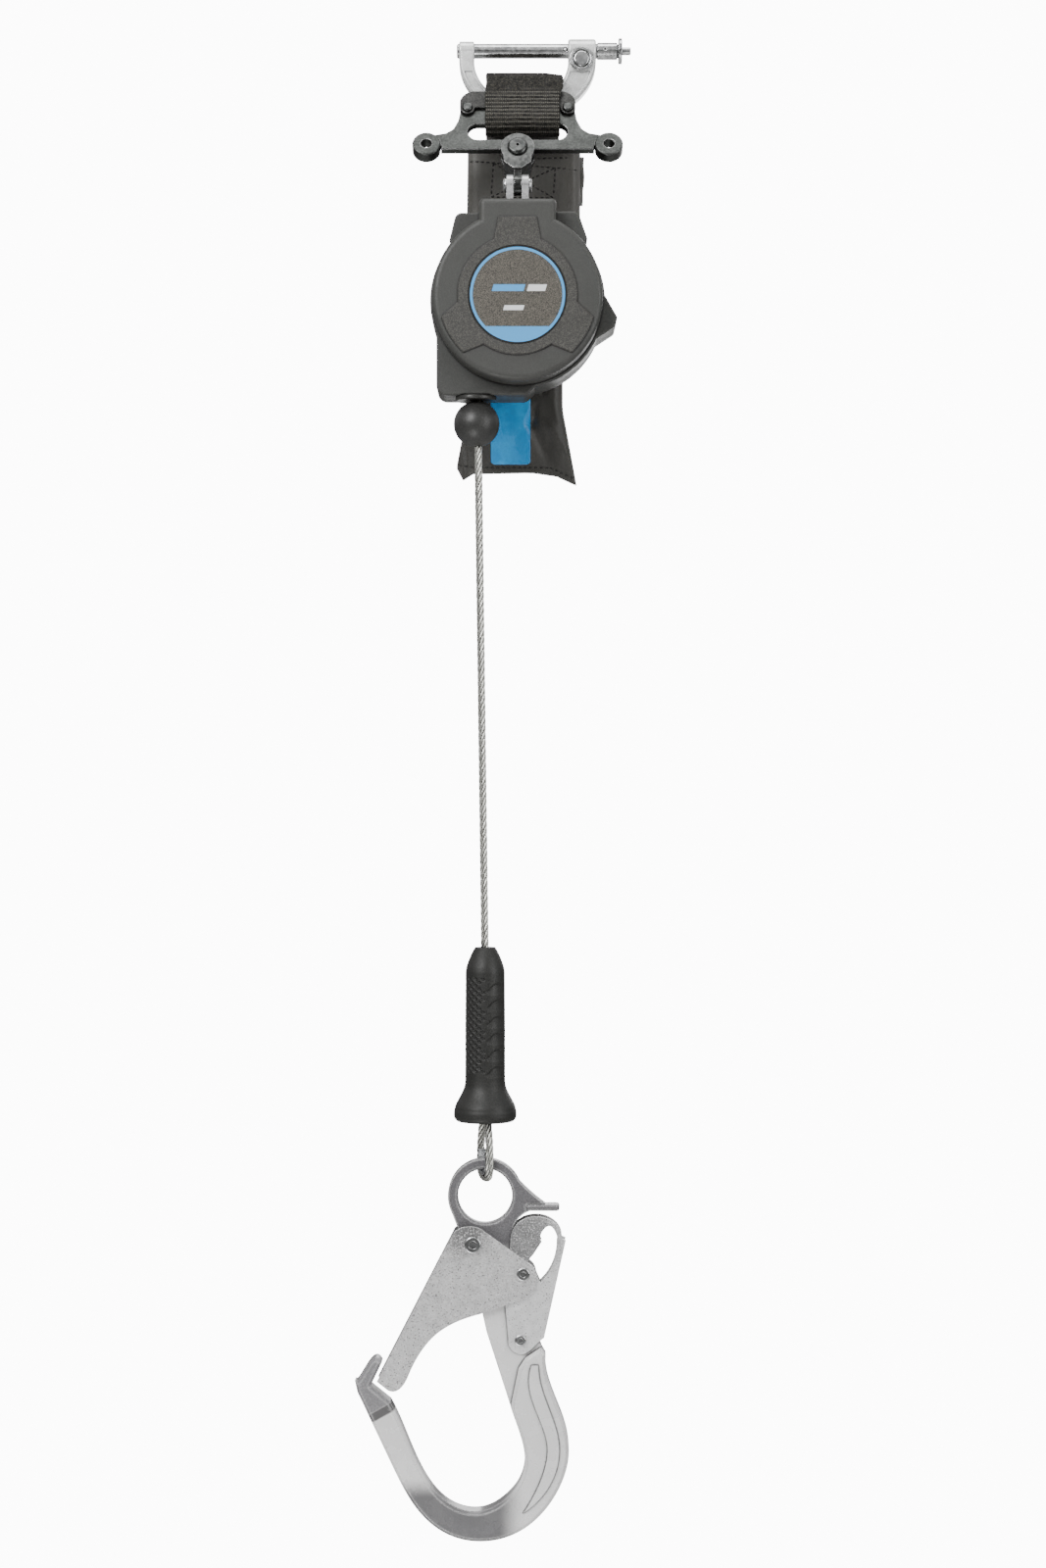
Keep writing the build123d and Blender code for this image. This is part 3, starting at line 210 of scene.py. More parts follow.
# ---------------------------------------------------------------- cable
CABLE_D = 4.8 * MM
STRANDS = 6
LAY = 27.0 * MM                      # length of one turn of a strand
CABLE_TOP = Vector((-24.44 * MM, MID_Y, -225.0 * MM))
GRIP_TOP = Vector((-20.0 * MM, MID_Y, -558.8 * MM))
CABLE_DOWN = (GRIP_TOP - CABLE_TOP).normalized()
HANGING_Z = (-227.0, -350.0, -480.0, -606.0)     # from the ball stop to the swage in the grip
PACKED_Z = (-221.5, -229.5)          # the payout line at rest, from in the nozzle to in the ball
PACKED_STEPS = 1150


def on_cable(z):
    """The cable's middle at height z."""
    return CABLE_TOP + CABLE_DOWN * ((z - CABLE_TOP.z) / CABLE_DOWN.z)


def route_points(points, step):
    """Points along the NURBS spline of a route, one every step."""
    data = bpy.data.curves.new("route", "CURVE")
    data.dimensions = "3D"
    data.resolution_u = 24
    spline = data.splines.new("NURBS")
    spline.points.add(len(points) - 1)
    for place, p in zip(spline.points, points):
        place.co = (*p, 1)
    spline.order_u = 3
    spline.use_endpoint_u = True
    curve = bpy.data.objects.new("route", data)
    bpy.context.scene.collection.objects.link(curve)
    bpy.context.view_layer.update()
    mesh = bpy.data.meshes.new_from_object(curve)
    line = [v.co.copy() for v in mesh.vertices]
    bpy.data.objects.remove(curve)
    bpy.data.meshes.remove(mesh)
    spaced, gone, wanted = [line[0]], 0.0, step
    for a, b in zip(line, line[1:]):
        span = (b - a).length
        while span > 0 and wanted <= gone + span:
            spaced.append(a.lerp(b, (wanted - gone) / span))
            wanted += step
        gone += span
    return spaced + [line[-1]]


def rope(name, path, sides=16, wires=6, along=None):
    """Strands laid round a core. along gives each path point's length from the start, where the
    path is drawn shorter than the cable is."""
    if along is None:
        along = [0.0]
        for a, b in zip(path, path[1:]):
            along.append(along[-1] + (b - a).length)
    radius = CABLE_D / 2
    strand_r = radius / 3 * 1.04
    lay_r = radius - strand_r
    tangents = [(path[min(i + 1, len(path) - 1)] - path[max(i - 1, 0)]).normalized()
                for i in range(len(path))]
    across = tangents[0].cross(Vector((0, 1, 0))).normalized()
    frames = []
    for t in tangents:
        across = (across - t * across.dot(t)).normalized()
        frames.append((across, t.cross(across)))
    verts, faces = [], []
    for strand in range(STRANDS):
        rings = []
        for p, (u, v), s in zip(path, frames, along):
            turn = 2 * math.pi * (strand / STRANDS + s / LAY)
            middle = p + (u * math.cos(turn) + v * math.sin(turn)) * lay_r
            ring = []
            for k in range(sides):
                a = 2 * math.pi * k / sides
                r = strand_r * (1 + 0.07 * math.cos(wires * a + 2 * math.pi * s / (LAY * 0.33)))
                ring.append(middle + (u * math.cos(a) + v * math.sin(a)) * r)
            rings.append(ring)
        add_tube(rings, verts, faces)
    core = [[p + (u * math.cos(a) + v * math.sin(a)) * strand_r * 1.15
             for a in (2 * math.pi * k / 8 for k in range(8))] for p, (u, v) in zip(path, frames)]
    add_tube(core, verts, faces)
    return new_mesh(name, verts, faces)


def add_hanging_cable():
    """The cable from the ball stop down into the grip."""
    path = route_points([on_cable(z * MM) for z in HANGING_Z], 1.3 * MM)
    cable = rope("hanging_cable", path)
    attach(cable, "line")
    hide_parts("lifeline_cable")


def add_payout_cable():
    """The cable that comes out of the nozzle. It is made at its full length and packed into the gap
    between the nozzle and the ball, so that it is whole when all of it is out."""
    top, low = (on_cable(z * MM) for z in PACKED_Z)
    gap = (low - top).length
    pulled = PAYOUT["range_m"][1]
    path, along, t = [], [], 0.0
    for i in range(PACKED_STEPS + 1):
        wanted = (gap + pulled) * i / PACKED_STEPS
        low_t, high_t = t, 1.0
        for _ in range(40):
            t = (low_t + high_t) / 2
            if gap * t + pulled * t * t * (3 - 2 * t) < wanted:
                low_t = t
            else:
                high_t = t
        path.append(top + CABLE_DOWN * gap * t)
        along.append(wanted)
    cable = rope("payout_line", path, sides=8, wires=0, along=along)
    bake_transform(cable)
    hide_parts("payout_cable")


EYE_YAW = math.radians(18)
EYE_LOW = -699.4 * MM
EYE_OUTLINE = [(2.5, 49.4), (2.5, 41.4), (9.2, 21.2), (9.2, 9.0), (8.6, 2.6), (4.6, -0.1), (-4.6, -0.1),
               (-8.6, 2.6), (-9.2, 9.0), (-9.2, 21.2), (-2.5, 41.4), (-2.5, 49.4)]


def add_cable_eye():
    """The cable's loop through the hook's eye, turned a little from the hook's plane."""
    side = Vector((math.sin(EYE_YAW), -math.cos(EYE_YAW), 0))
    middle = Vector((-19.8 * MM, MID_Y, 0))
    points = [middle + side * (a * MM) + Vector((0, 0, EYE_LOW + b * MM)) for a, b in EYE_OUTLINE]
    eye = rope("cable_loop", route_points(points, 0.9 * MM))
    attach(eye, "line")
    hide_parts("cable_eye")


add_hanging_cable()
add_payout_cable()
add_cable_eye()


# ---------------------------------------------------------------- outlines
def at_height(points, z, reach=0.0):
    """The first value of a list of (value, z) pairs at height z, averaged over reach either way."""
    total = 0.0
    for k in (-1.0, -0.5, 0.0, 0.5, 1.0):
        wanted = min(max(z + k * reach, points[-1][1]), points[0][1])
        for (a, z_a), (b, z_b) in zip(points, points[1:]):
            if z_b <= wanted <= z_a:
                total += a + (b - a) * (z_a - wanted) / (z_a - z_b)
                break
    return total / 5


def bend(t):
    """A quarter circle from 0 at t = 0 to 1 at t = 1 and beyond."""
    t = min(max(t, 0.0), 1.0)
    return math.sqrt(max(1 - (1 - t) ** 2, 0.0))


def ridge(x, z, a, b, width):
    """1 on the line from a to b, fading to 0 at its sides and ends."""
    run = Vector(b) - Vector(a)
    off = Vector((x, z)) - Vector(a)
    share = min(max(off.dot(run) / run.length_squared, 0.0), 1.0)
    return math.exp(-((off - run * share).length / width) ** 2)


# ---------------------------------------------------------------- webbing loop, in millimetres
WEB_X = (-20.0, 26.0)
WEB_T = 2.6
RIB = 2.15                           # from one weft rib to the next
YARN = 1.3                           # from one warp yarn to the next
WEB_PATH = [(-29.76, -52.34), (-16.6, -18.6), (11.0, -18.6), (11.0, -47.0), (-19.43, -57.15)]
WEB_RADII = [6.0, 6.0, 6.0, 6.0, 2.4]
WEB_STEP = 0.31                      # between points of the band, round it
WEB_COLUMNS = 112
LAYER_Z = -33.2                      # where the outer layer of the loop starts


def closed_path(corners, radii, step):
    """Points evenly spaced along a closed polygon with rounded corners, clockwise in (Y, Z)."""
    line = []
    for k, radius in enumerate(radii):
        p = Vector(corners[k])
        u = (Vector(corners[k - 1]) - p).normalized()
        w = (Vector(corners[(k + 1) % len(corners)]) - p).normalized()
        half = u.angle(w) / 2
        centre = p + (u + w).normalized() * (radius / math.sin(half))
        first = p + u * (radius / math.tan(half)) - centre
        last = p + w * (radius / math.tan(half)) - centre
        turn = math.atan2(first.x * last.y - first.y * last.x, first.dot(last))
        for i in range(13):
            c, s = math.cos(turn * i / 12), math.sin(turn * i / 12)
            line.append(centre + Vector((first.x * c - first.y * s, first.x * s + first.y * c)))
    line.append(line[0])
    total = sum((b - a).length for a, b in zip(line, line[1:]))
    count = round(total / step)
    spaced, gone = [], 0.0
    for a, b in zip(line, line[1:]):
        span = (b - a).length
        while span > 0 and len(spaced) < count and len(spaced) * total / count <= gone + span:
            spaced.append(a.lerp(b, (len(spaced) * total / count - gone) / span))
        gone += span
    return spaced, total


def add_webbing():
    """One closed band of ribbed webbing, its upper part pulled a little to the right."""
    line, total = closed_path(WEB_PATH, WEB_RADII, WEB_STEP)
    ribs = round(total / RIB)
    middle, half = sum(WEB_X) / 2, (WEB_X[1] - WEB_X[0]) / 2
    verts = []
    for i, p in enumerate(line):
        run = (line[(i + 1) % len(line)] - line[i - 1]).normalized()
        out = Vector((-run.y, run.x))
        high = smoothstep(-34, -27, p.y)
        front = smoothstep(-15, -19, p.x)
        layer = 0.45 * front * (1 - smoothstep(LAYER_Z - 0.4, LAYER_Z + 0.4, p.y))
        coarse = 0.42 * (1 - 0.55 * smoothstep(LAYER_Z - 1, LAYER_Z + 1, p.y))
        for side in (1, -1):
            for j in range(WEB_COLUMNS):
                share = side * (-1 + 2 * j / (WEB_COLUMNS - 1))
                fringe = noise.noise((i * 0.06, share, 3.0)) * 0.45
                x = middle + half * share + high * (1.2 + 0.9 * share) + fringe
                wave = 0.30 * math.sin(share * 2.6 + p.y * 0.22)
                wave += 0.5 * noise.noise((x * 0.09, i * 0.012, 0))
                phase = ribs * i / len(line) + wave
                thick = WEB_T / 2 * max(bend((1 - abs(share)) * half / 1.0), 0.3)
                rib = abs(math.sin(math.pi * phase)) ** 0.55 - 1
                warp = math.cos(2 * math.pi * x / YARN + math.pi * math.floor(phase))
                lift = thick + (layer if side > 0 else 0) + coarse * rib + 0.10 * warp * (rib + 1)
                droop = -1.2 * smoothstep(0.45, 1.0, share) * smoothstep(-27, -19, p.y)
                at = p + out * lift * side
                verts.append((x * MM, at.x * MM, (at.y + droop) * MM))
    faces = grid_faces(len(line), 2 * WEB_COLUMNS, close_rows=True, close_columns=True)
    web = new_mesh("webbing", verts, faces)
    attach(web, "sling")
    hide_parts("webbing_loop")


# ---------------------------------------------------------------- absorber sleeve, in millimetres
SLEEVE_MID_Y, SLEEVE_HALF = 15.75, 8.15
SLEEVE_LEFT = [(-31.7, -58.0), (-32.7, -150.0), (-31.7, -222.0), (-39.0, -259.5), (-36.5, -269.0)]
SLEEVE_RIGHT = [(39.6, -58.0), (39.3, -150.0), (28.5, -203.0), (28.5, -222.0), (37.3, -270.3),
                (37.4, -272.0)]
SLEEVE_HEM = [(-39.0, -259.5), (-35.0, -267.0), (-27.0, -262.0), (20.0, -262.5), (37.3, -270.3)]
SLEEVE_TOP = -58.0
SLEEVE_ROWS, SLEEVE_COLUMNS = 170, 84
# Each crease: its two ends in (X, Z), its width and how far it stands forward.
CREASES = [((11, -212), (37, -268), 3.6, 1.7), ((9, -231), (24, -266), 3.2, -2.3),
           ((19, -200), (8, -232), 3.0, -1.6), ((-33, -232), (-31, -262), 3.0, -1.8),
           ((-36, -240), (-35, -264), 2.0, 0.9), ((33, -66), (30, -100), 3.5, -0.7),
           ((-27, -70), (-29, -98), 3.0, -0.6), ((-8, -236), (4, -262), 5.0, -0.8),
           ((22, -66), (34, -70), 1.2, -0.5), ((30, -245), (36, -262), 2.4, 1.0)]


def hem_height(x):
    """Z of the sleeve's lower edge at x."""
    for (x_a, z_a), (x_b, z_b) in zip(SLEEVE_HEM, SLEEVE_HEM[1:]):
        if x <= x_b or x_b == SLEEVE_HEM[-1][0]:
            return z_a + (z_b - z_a) * (min(max(x, x_a), x_b) - x_a) / (x_b - x_a)


def half_thickness(x, z):
    """Half the sleeve's thickness: full in the middle, round at the sides and top, flat at the hem."""
    side = min(x - at_height(SLEEVE_LEFT, z, 3.0), at_height(SLEEVE_RIGHT, z, 3.0) - x)
    full = 1.0 + (SLEEVE_HALF - 1.0) * smoothstep(0, 46, z - hem_height(x))
    return max(full * bend(side / 6.5) * bend((SLEEVE_TOP - z) / 3.5 + 0.05), 0.16)


def creased(x, z):
    """How far the cloth stands forward; behind the housing it only goes back."""
    forward = sum(depth * ridge(x, z, a, b, width) for a, b, width, depth in CREASES)
    forward += 0.8 * noise.noise((x * 0.055, z * 0.03, 0.4)) + 0.25 * noise.noise((x * 0.16, z * 0.09, 5.1))
    room = smoothstep(-226, -236, z)
    return min(forward, 0.0) + max(forward, 0.0) * room - 0.35 * (1 - room)


def front_y(x, z):
    thick = half_thickness(x, z)
    return SLEEVE_MID_Y - thick - creased(x, z) * min(thick / 3.0, 1.0)


def sleeve_point(u, v):
    """(X, Z) on the sleeve's outline: u from left to right, v from the top to the hem."""
    (x_first, z_first), (x_last, z_last) = SLEEVE_HEM[0], SLEEVE_HEM[-1]
    z_left, z_right = SLEEVE_TOP + (z_first - SLEEVE_TOP) * v, SLEEVE_TOP + (z_last - SLEEVE_TOP) * v
    x_left, x_right = at_height(SLEEVE_LEFT, z_left, 3.0), at_height(SLEEVE_RIGHT, z_right, 3.0)
    x, z = x_left + (x_right - x_left) * u, z_left + (z_right - z_left) * u
    bottom = z_first + (z_last - z_first) * u
    dip = hem_height(x_first + (x_last - x_first) * u) - bottom
    return x, z + dip * smoothstep(0.72, 1.0, v)


FOLD_X, FOLD_Z = (33.0, 42.0), (-62.0, -93.0)
FOLD_ROWS, FOLD_COLUMNS = 30, 14


def fold_ring(z):
    """Once round the loose fold of cloth at the sleeve's upper right edge, at height z."""
    edge = FOLD_X[1] - 1.1 * smoothstep(-78, FOLD_Z[1], z) + 0.3 * math.sin(z * 0.4)
    ring = []
    for side in (-1, 1):
        for j in range(FOLD_COLUMNS):
            share = j / (FOLD_COLUMNS - 1) if side < 0 else 1 - j / (FOLD_COLUMNS - 1)
            thick = 0.55 * max(bend(4 * (1 - share)), 0.3)
            y = 15.6 + 1.6 * share + 0.5 * math.sin(z * 0.23 + 2 * share) + side * thick
            ring.append(((FOLD_X[0] + (edge - FOLD_X[0]) * share) * MM, y * MM, z * MM))
    return ring


def add_sleeve():
    """A flat sewn tube of coated cloth with the folded tear webbing in it, and its loose fold."""
    verts = []
    for i in range(SLEEVE_ROWS):
        v = i / (SLEEVE_ROWS - 1)
        v = v * v * (1.6 - 0.6 * v) if v < 0.1 else v
        turns = [math.pi * k / (SLEEVE_COLUMNS - 1) for k in range(SLEEVE_COLUMNS)]
        across = [sleeve_point((1 - math.cos(turn)) / 2, v) for turn in turns]
        verts += [(x * MM, front_y(x, z) * MM, z * MM) for x, z in across]
        verts += [(x * MM, (SLEEVE_MID_Y + half_thickness(x, z) + 0.5 * creased(x, z)) * MM, z * MM)
                  for x, z in reversed(across)]
    faces = tube_faces(SLEEVE_ROWS, 2 * SLEEVE_COLUMNS)
    heights = [FOLD_Z[0] + (FOLD_Z[1] - FOLD_Z[0]) * i / (FOLD_ROWS - 1) for i in range(FOLD_ROWS)]
    add_tube([fold_ring(z) for z in heights], verts, faces)
    sleeve = new_mesh("sleeve", verts, faces)
    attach(sleeve, "sling")
    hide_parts("absorber_sleeve")


STITCH, STITCH_GAP, THREAD_R = 2.1, 1.35, 0.44
STITCH_PARTS = (0.0, 0.12, 0.35, 0.65, 0.88, 1.0)
SEAMS = [((-30.2, -66.6), (38.4, -72.2)), ((-15.3, -68.0), (-16.8, -89.3)), ((23.6, -71.0), (22.5, -89.9)),
         ((-16.8, -89.3), (22.5, -89.9)), ((-16.8, -89.3), (23.6, -71.0)), ((-15.3, -68.0), (22.5, -89.9)),
         ((9.0, -65.2), (34.0, -64.4)), ((-37.2, -257.3), (-27.5, -258.8)), ((-27.5, -258.8), (20.5, -259.0)),
         ((20.5, -259.0), (36.2, -266.2))]


def add_stitching():
    """Rows of black thread along the seams, every stitch pulled a little into the cloth."""
    verts, faces = [], []
    angles = [2 * math.pi * k / 6 for k in range(6)]
    for a, b in SEAMS:
        a, b = Vector(a), Vector(b)
        run = (b - a).normalized()
        for k in range(int(((b - a).length + STITCH_GAP) / (STITCH + STITCH_GAP))):
            rings = []
            for t in STITCH_PARTS:
                p = a + run * (k * (STITCH + STITCH_GAP) + STITCH * t)
                r = THREAD_R * (0.35 + 0.65 * bend(4 * min(t, 1 - t)))
                y = front_y(p.x, p.y) + 0.1 - 0.22 * math.sin(math.pi * t)
                rings.append([((p.x - run.y * r * math.cos(w)) * MM, (y + r * math.sin(w)) * MM,
                               (p.y + run.x * r * math.cos(w)) * MM) for w in angles])
            add_tube(rings, verts, faces)
    thread = new_mesh("sleeve_stitching", verts, faces)
    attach(thread, "sling")


PATCH_X, PATCH_Z, PATCH_ROUND = (-17.0, 8.0), (-257.0, -213.5), 2.5
PATCH_ROWS, PATCH_COLUMNS = 60, 26


def add_patch():
    """A plain blue patch bonded to the sleeve's front, low down."""
    verts = []
    for i in range(PATCH_ROWS):
        z = PATCH_Z[0] + (PATCH_Z[1] - PATCH_Z[0]) * i / (PATCH_ROWS - 1)
        near = min(z - PATCH_Z[0], PATCH_Z[1] - z)
        inset = PATCH_ROUND * (1 - bend(near / PATCH_ROUND))
        width = PATCH_X[1] - PATCH_X[0] - 2 * inset
        across = [PATCH_X[0] + inset + width * k / (PATCH_COLUMNS - 1) for k in range(PATCH_COLUMNS)]
        verts += [(x * MM, (front_y(x, z) - 0.30) * MM, z * MM) for x in across]
        verts += [(x * MM, (front_y(x, z) + 0.25) * MM, z * MM) for x in reversed(across)]
    patch = new_mesh("sleeve_patch", verts, tube_faces(PATCH_ROWS, 2 * PATCH_COLUMNS))
    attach(patch, "sling")


# ---------------------------------------------------------------- grip, in millimetres
GRIP_X = -19.8
# Each point of the two outlines: radius and Z, from the top of the grip down and back up inside it.
GRIP_OUTER = [(6.1, -558.8), (7.2, -560.3), (8.8, -563.4), (10.4, -567.4), (11.5, -570.6), (12.0, -573.6),
              (12.2, -606.0), (12.2, -640.0), (12.6, -643.2), (13.3, -645.6), (14.7, -648.5),
              (16.2, -651.3), (17.5, -653.6), (18.5, -655.9), (18.7, -657.6), (19.1, -658.4),
              (19.2, -661.8), (18.7, -663.5), (17.2, -664.7)]
GRIP_INNER = [(16.6, -664.7), (15.6, -660.5), (10.6, -650.0), (8.6, -645.0), (7.4, -642.0),
              (7.4, -599.0), (3.2, -596.0), (3.2, -558.8)]
GRIP_R = 12.2                        # of the straight part
GRIP_COLUMNS, GRIP_STEP = 216, 0.38
DIMPLE = (3.5, 2.3, 0.95)            # length, height and depth
DIMPLE_Z = (-633.5, -576.5)
DIMPLE_COLUMNS, DIMPLE_TURN = 15, 12     # and the degrees from one column to the next
DIMPLE_ROWS, DIMPLE_STEP = 15, 4.0       # and the height from one row to the next
SCALLOPS, SCALLOP_STEP = 6, 10.1
SCALLOP_TOP, SCALLOP_LOW, SCALLOP_ARCH = -585.4, -586.9, 5.1


def dimple_depth(turn, z):
    """Slanted dimples over the half towards -X. turn is the angle from the front, in degrees."""
    if not (DIMPLE_Z[0] - 2 < z < DIMPLE_Z[1] + 2 and -4 < turn < 184):
        return 0.0
    deepest = 0.0
    for k in range(DIMPLE_COLUMNS):
        across = math.radians(turn - DIMPLE_TURN * (k + 0.5)) * GRIP_R
        if abs(across) > 2.2:
            continue
        first_z = DIMPLE_Z[0] + DIMPLE_STEP / 2 * (k % 2)
        near = round((z - first_z) / DIMPLE_STEP)
        for row in (near - 1, near, near + 1):
            up = z - (first_z + DIMPLE_STEP * row)
            if (k in (0, DIMPLE_COLUMNS - 1) and row % 3 == 1) or not 0 <= row < DIMPLE_ROWS - (k % 2):
                continue
            a = across * 0.94 + up * 0.34
            b = -across * 0.34 + up * 0.94
            r = math.hypot(a / DIMPLE[0] * 2, b / DIMPLE[1] * 2)
            deepest = max(deepest, DIMPLE[2] * (1 - smoothstep(0.45, 1.05, r)))
    return deepest


def scallop_depth(turn, z):
    """Scallops for the fingers over the half towards +X, deepest under their arched upper edge and
    gone at the side."""
    turn = min(-turn, 180 + turn) if turn < 0 else 0
    if turn < 4:
        return 0.0
    rise = math.sin(math.radians(90 * min((turn - 4) / 36, 1.0)))
    for k in range(SCALLOPS):
        top = SCALLOP_TOP + SCALLOP_ARCH * rise - SCALLOP_STEP * k
        low = SCALLOP_LOW - SCALLOP_STEP * k
        if low - 0.2 < z < top + 0.3:
            depth = 0.18 + 0.85 * max((z - low) / (top - low), 0)
            side = smoothstep(4, 12, turn) * (1 - smoothstep(52, 82, turn))
            ends = (1 - smoothstep(top - 0.25, top + 0.3, z)) * smoothstep(low - 0.2, low + 0.2, z)
            return depth * side * ends
    return 0.0


def add_grip():
    """The rubber grip, turned from its outlines, with dimples on one half and scallops on the other."""
    heights = []
    z = GRIP_OUTER[0][1]
    while z > GRIP_OUTER[-1][1]:
        heights.append(z)
        z -= GRIP_STEP
    profile = [(at_height(GRIP_OUTER, z, 0.7), z) for z in heights] + [GRIP_OUTER[-1]] + GRIP_INNER
    verts = []
    for n, (r, z) in enumerate(profile):
        for k in range(GRIP_COLUMNS):
            turn = -180 + 360 * k / GRIP_COLUMNS
            cut = 0.0
            if n <= len(heights):
                cut = max(dimple_depth(turn, z), dimple_depth(turn + 360, z), scallop_depth(turn, z))
            x, y = -(r - cut) * math.sin(math.radians(turn)), -(r - cut) * math.cos(math.radians(turn))
            verts.append(((GRIP_X + x) * MM, MID_Y + y * MM, z * MM))
    faces = grid_faces(len(profile), GRIP_COLUMNS, close_rows=True, close_columns=True)
    grip = new_mesh("grip", verts, faces)
    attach(grip, "line")
    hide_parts("handle_grip")


add_webbing()
add_sleeve()
add_stitching()
add_patch()
add_grip()


# ---------------------------------------------------------------- finishes
class Finish:
    """A procedural material, built node by node round one Principled shader."""

    def __init__(self, name, **values):
        self.material = bpy.data.materials.new(name)
        self.material.use_nodes = True
        self.tree = self.material.node_tree
        self.shader = self.tree.nodes["Principled BSDF"]
        self.coords = self.tree.nodes.new("ShaderNodeTexCoord").outputs["Object"]
        for key, value in values.items():
            self.shader.inputs[key.replace("_", " ")].default_value = value

    def node(self, kind, *inputs, **settings):
        """A shader node with its inputs, in order, and its settings. An input is a socket or a value."""
        made = self.tree.nodes.new("ShaderNode" + kind)
        for key, value in settings.items():
            setattr(made, key, value)
        for key, value in enumerate(inputs):
            if isinstance(value, bpy.types.NodeSocket):
                self.tree.links.new(value, made.inputs[key])
            elif value is not None:
                made.inputs[key].default_value = value
        return made

    def calc(self, operation, *values):
        return self.node("Math", *values, operation=operation).outputs[0]

    def product(self, *values):
        total = values[0]
        for value in values[1:]:
            total = self.calc("MULTIPLY", total, value)
        return total

    def between(self, value, low, high, to_low=0.0, to_high=1.0):
        """A smooth step that starts at low and ends at high."""
        return self.node("MapRange", value, low, high, to_low, to_high,
                         interpolation_type="SMOOTHSTEP").outputs[0]

    def noise(self, scale, detail=4.0, stretch=(1, 1, 1)):
        placed = self.node("Mapping", self.coords, None, None, stretch).outputs[0]
        made = self.node("TexNoise", placed)
        made.inputs["Scale"].default_value = scale
        made.inputs["Detail"].default_value = detail
        return made.outputs["Fac"]

    def axes(self):
        return self.node("SeparateXYZ", self.coords).outputs

    def open_air(self, reach, low, high, samples=8):
        """0 in corners narrower than reach, in millimetres, and 1 out in the open."""
        made = self.node("AmbientOcclusion", samples=samples)
        made.inputs["Distance"].default_value = reach * MM
        return self.between(made.outputs["AO"], low, high)

    def mix(self, share, a, b):
        made = self.node("Mix", data_type="RGBA")
        for key, value in (("Factor_Float", share), ("A_Color", a), ("B_Color", b)):
            socket = next(s for s in made.inputs if s.identifier == key)
            if isinstance(value, bpy.types.NodeSocket):
                self.tree.links.new(value, socket)
            else:
                socket.default_value = value if key == "Factor_Float" else (*value, 1)
        return next(s for s in made.outputs if s.identifier == "Result_Color")

    def edges(self, radius, low=0.02, high=0.16):
        """1 on convex or concave edges and 0 on flats: the mask for worn edges, painted edge highlights and
        painted edge shade.
        """
        soft = self.node("Bevel", radius, samples=6).outputs[0]
        true = self.node("NewGeometry").outputs["Normal"]
        dot = self.node("VectorMath", soft, true, operation="DOT_PRODUCT").outputs["Value"]
        return self.between(self.calc("SUBTRACT", 1.0, dot), low, high)

    def colour(self, socket):
        self.tree.links.new(socket, self.shader.inputs["Base Color"])

    def roughness(self, share, low, high):
        self.tree.links.new(self.between(share, 0.3, 0.7, low, high), self.shader.inputs["Roughness"])

    def bump(self, height, distance, strength=1.0, rounded=None):
        made = self.node("Bump", strength, distance)
        self.tree.links.new(height, made.inputs["Height"])
        if rounded:
            self.tree.links.new(self.node("Bevel", rounded, samples=6).outputs[0], made.inputs["Normal"])
        self.tree.links.new(made.outputs[0], self.shader.inputs["Normal"])


def metal(name, dull, bright, rough, grain=400.0, depth=0.015, soft=0.5, wear_and_highlight=0.6, reach=2.0, corner_shade=0.35,
          metallic=1.0):
    """A metal whose grain, tone and gloss vary, with edges brightened partly by rubbed wear and partly as
    painted highlight, and painted shade in its corners. depth, soft and reach, in millimetres, are those of
    the grain, the edges and the painted shade."""
    f = Finish(name, Metallic=metallic)
    tone = f.calc("ADD", f.product(f.noise(grain, 3.0), 0.6), f.product(f.noise(70.0), 0.4))
    base = f.mix(f.between(tone, 0.36, 0.64), dull, bright)
    # Lighter edges: partly rubbed wear, partly painted highlight.
    rubbed_and_highlit = tuple(min(c * 1.2 + 0.38, 0.96) for c in bright)
    base = f.mix(f.product(f.edges(soft * 1.3 * MM), wear_and_highlight), base, rubbed_and_highlit)
    # Painted shade: darker colour in corners narrower than reach.
    f.colour(f.mix(f.open_air(reach, 0.25, 0.85), tuple(c * corner_shade for c in dull), base))
    f.roughness(f.noise(220.0), *rough)
    f.bump(f.noise(grain, 3.0), depth * MM, 0.7, soft * MM)
    return f.material


def plastic(name, dark, pale, rough):
    f = Finish(name, Metallic=0.0)
    f.colour(f.mix(f.between(f.noise(1500.0, 2.0), 0.35, 0.7), dark, pale))
    f.roughness(f.noise(140.0), *rough)
    f.bump(f.noise(1500.0, 3.0), 0.05 * MM, 0.8, 0.5 * MM)
    return f.material


STAR_Y = -63.45                      # the star on the front cover is in front of this, in millimetres
STEP_Y = -63.0                       # and the step round it in front of this


